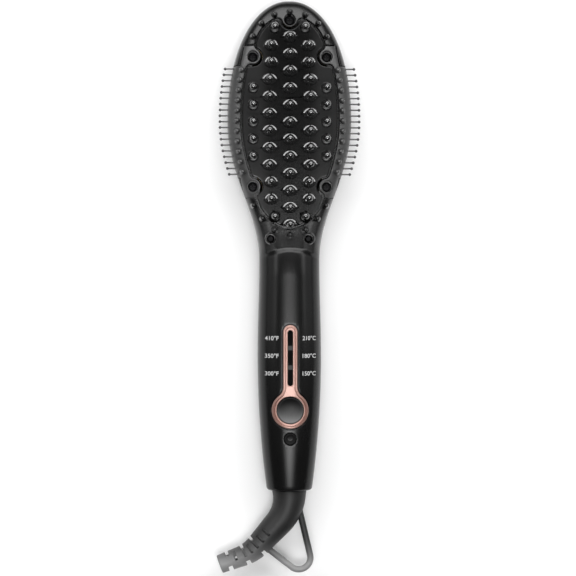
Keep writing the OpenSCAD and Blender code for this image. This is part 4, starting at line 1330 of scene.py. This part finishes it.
def make_camera():
    """Seen from straight above, leaning a little to the left."""
    camera_z = 1.2
    lean = math.radians(2)
    frame_w = 0.3053
    reach = camera_z - seam_z * MM
    camera = bpy.data.cameras.new("camera")
    camera.sensor_width = 36
    camera.lens = camera.sensor_width * (reach / math.cos(lean)) / frame_w
    view = bpy.data.objects.new("camera", camera)
    view.location = (-0.00069 - reach * math.tan(lean), -0.00048, camera_z)
    view.rotation_euler = (0, -lean, 0)
    bpy.context.scene.collection.objects.link(view)
    bpy.context.scene.camera = view


def make_lights():
    """Panels over the handle, an arch of panels behind the head, and a low wall at each side."""
    head = Vector((0, 0.08, 0.02))
    softbox("handle box", (0, -0.25, 1.5), (0.85, 0.46), 5.5)
    softbox("handle core", (0, -0.25, 1.45), (0.36, 0.46), 8)
    arch_panels = [(-72, 42, 0.32), (-36, 43, 1.0), (0, 42, 1.0), (36, 43, 1.0), (72, 42, 0.32)]
    for turn, lean_out, height in arch_panels:
        side = math.radians(turn)
        tilt = math.radians(lean_out)
        flat = Vector((math.sin(side), math.cos(side), 0)) * math.sin(tilt)
        place = head + (flat + Vector((0, 0, math.cos(tilt)))) * 1.7
        softbox("head arch", place, (0.72, height), 3.7, head)
    for side in (-1, 1):
        softbox("comb wall", (side * 0.95, 0.1, 0.52), (0.3, 0.8), 1.0, head)
    world = bpy.data.worlds.new("studio")
    bpy.context.scene.world = world
    world.use_nodes = True
    background = world.node_tree.nodes["Background"]
    background.inputs["Color"].default_value = (1, 1, 1, 1)
    background.inputs["Strength"].default_value = 0.05
    bpy.context.scene.view_settings.view_transform = "Standard"


def make_floor():
    bpy.ops.mesh.primitive_plane_add(size=12, location=(0, 0, -0.0002))
    floor = named("floor")
    bpy.ops.object.transform_apply(location=True)
    paper = Finish("pale floor", Roughness=0.9, Specular_IOR_Level=0.1)
    paper.feed("Base Color", paper.mix_colour(paper.noise(30), grey(0.93), grey(0.95)))
    floor.data.materials.append(paper.material)


# ---------- putting it together ----------

finishes = {
    "satin_black": moulded("satin black plastic", 0.004, 0.26, depth=0.004, level=0.26,
                           glossy_from=y_neck + 1),
    "comb_black": moulded("comb black plastic", 0.036, 0.36, grain=0.3, depth=0.006, level=0.9),
    "plate_enamel": plate_enamel(),
    "cap_black": cap_resin(),
    "screw_steel": metal("blackened steel", (0.012, 0.012, 0.0125), 0.4, scratch=0.2),
    "ceramic": ceramic(),
    "mica": mica(),
    "spring_steel": metal("spring steel", (0.5, 0.51, 0.53), 0.35, stretch=(0.2, 1, 1)),
    "bright_metal": metal("bright steel", (0.72, 0.72, 0.73), 0.28, stretch=(1, 0.2, 1)),
    "sensor_red": coloured_plastic("sensor resin", (0.45, 0.03, 0.02), 0.3),
    "board_green": board_lacquer(),
    "part_black": moulded("black component resin", 0.02, 0.5, grain=0.2, depth=0.015),
    "stem_ivory": coloured_plastic("stem plastic", (0.5, 0.48, 0.38)),
    "lamp_white": coloured_plastic("lamp resin", (0.75, 0.73, 0.62), 0.25),
    "guide_clear": clear_guide(),
    "film_yellow": coloured_plastic("film resin", (0.55, 0.36, 0.03), 0.3),
    "rose_gold": metal("rose gold plating", (0.43, 0.26, 0.22), 0.48, stretch=(1, 0.12, 1),
                       scratch=0.25, depth=0.002, coat=0.5),
    "smoked_window": smoked_lens(),
    "grey_bar": moulded("grey bar", 0.05, 0.5, level=0.1),
    "button_black": button_plastic(),
    "bush_ivory": moulded("ivory acetal", 0.55, 0.42, tint=(1, 0.97, 0.88)),
    "contact_brass": metal("contact brass", (0.82, 0.62, 0.3), 0.3, stretch=(0.3, 1, 1)),
    "lead_red": coloured_plastic("red sleeve", (0.42, 0.02, 0.015), 0.5),
    "lead_white": coloured_plastic("white sleeve", (0.6, 0.6, 0.56), 0.5),
    "boot_rubber": boot_rubber(),
    "white_ink": printed_ink("white ink", 0.6),
    "grey_ink": printed_ink("grey ink", 0.09),
}

for part in frame["record"]["subparts"]:
    for holder in frame["nodes"][part["node"]].material_slots:
        holder.material = finishes[part["material_slot"]]

make_camera()
make_lights()
make_floor()
rear = half_housing("rear_housing", -1)
dress(rear, "body", "satin_black", "rear_shell", smooth=40)
make_front()
make_combs()
make_plate()
make_caps()
make_screws()
make_bezel()
make_buttons()
make_labels()
make_boot()
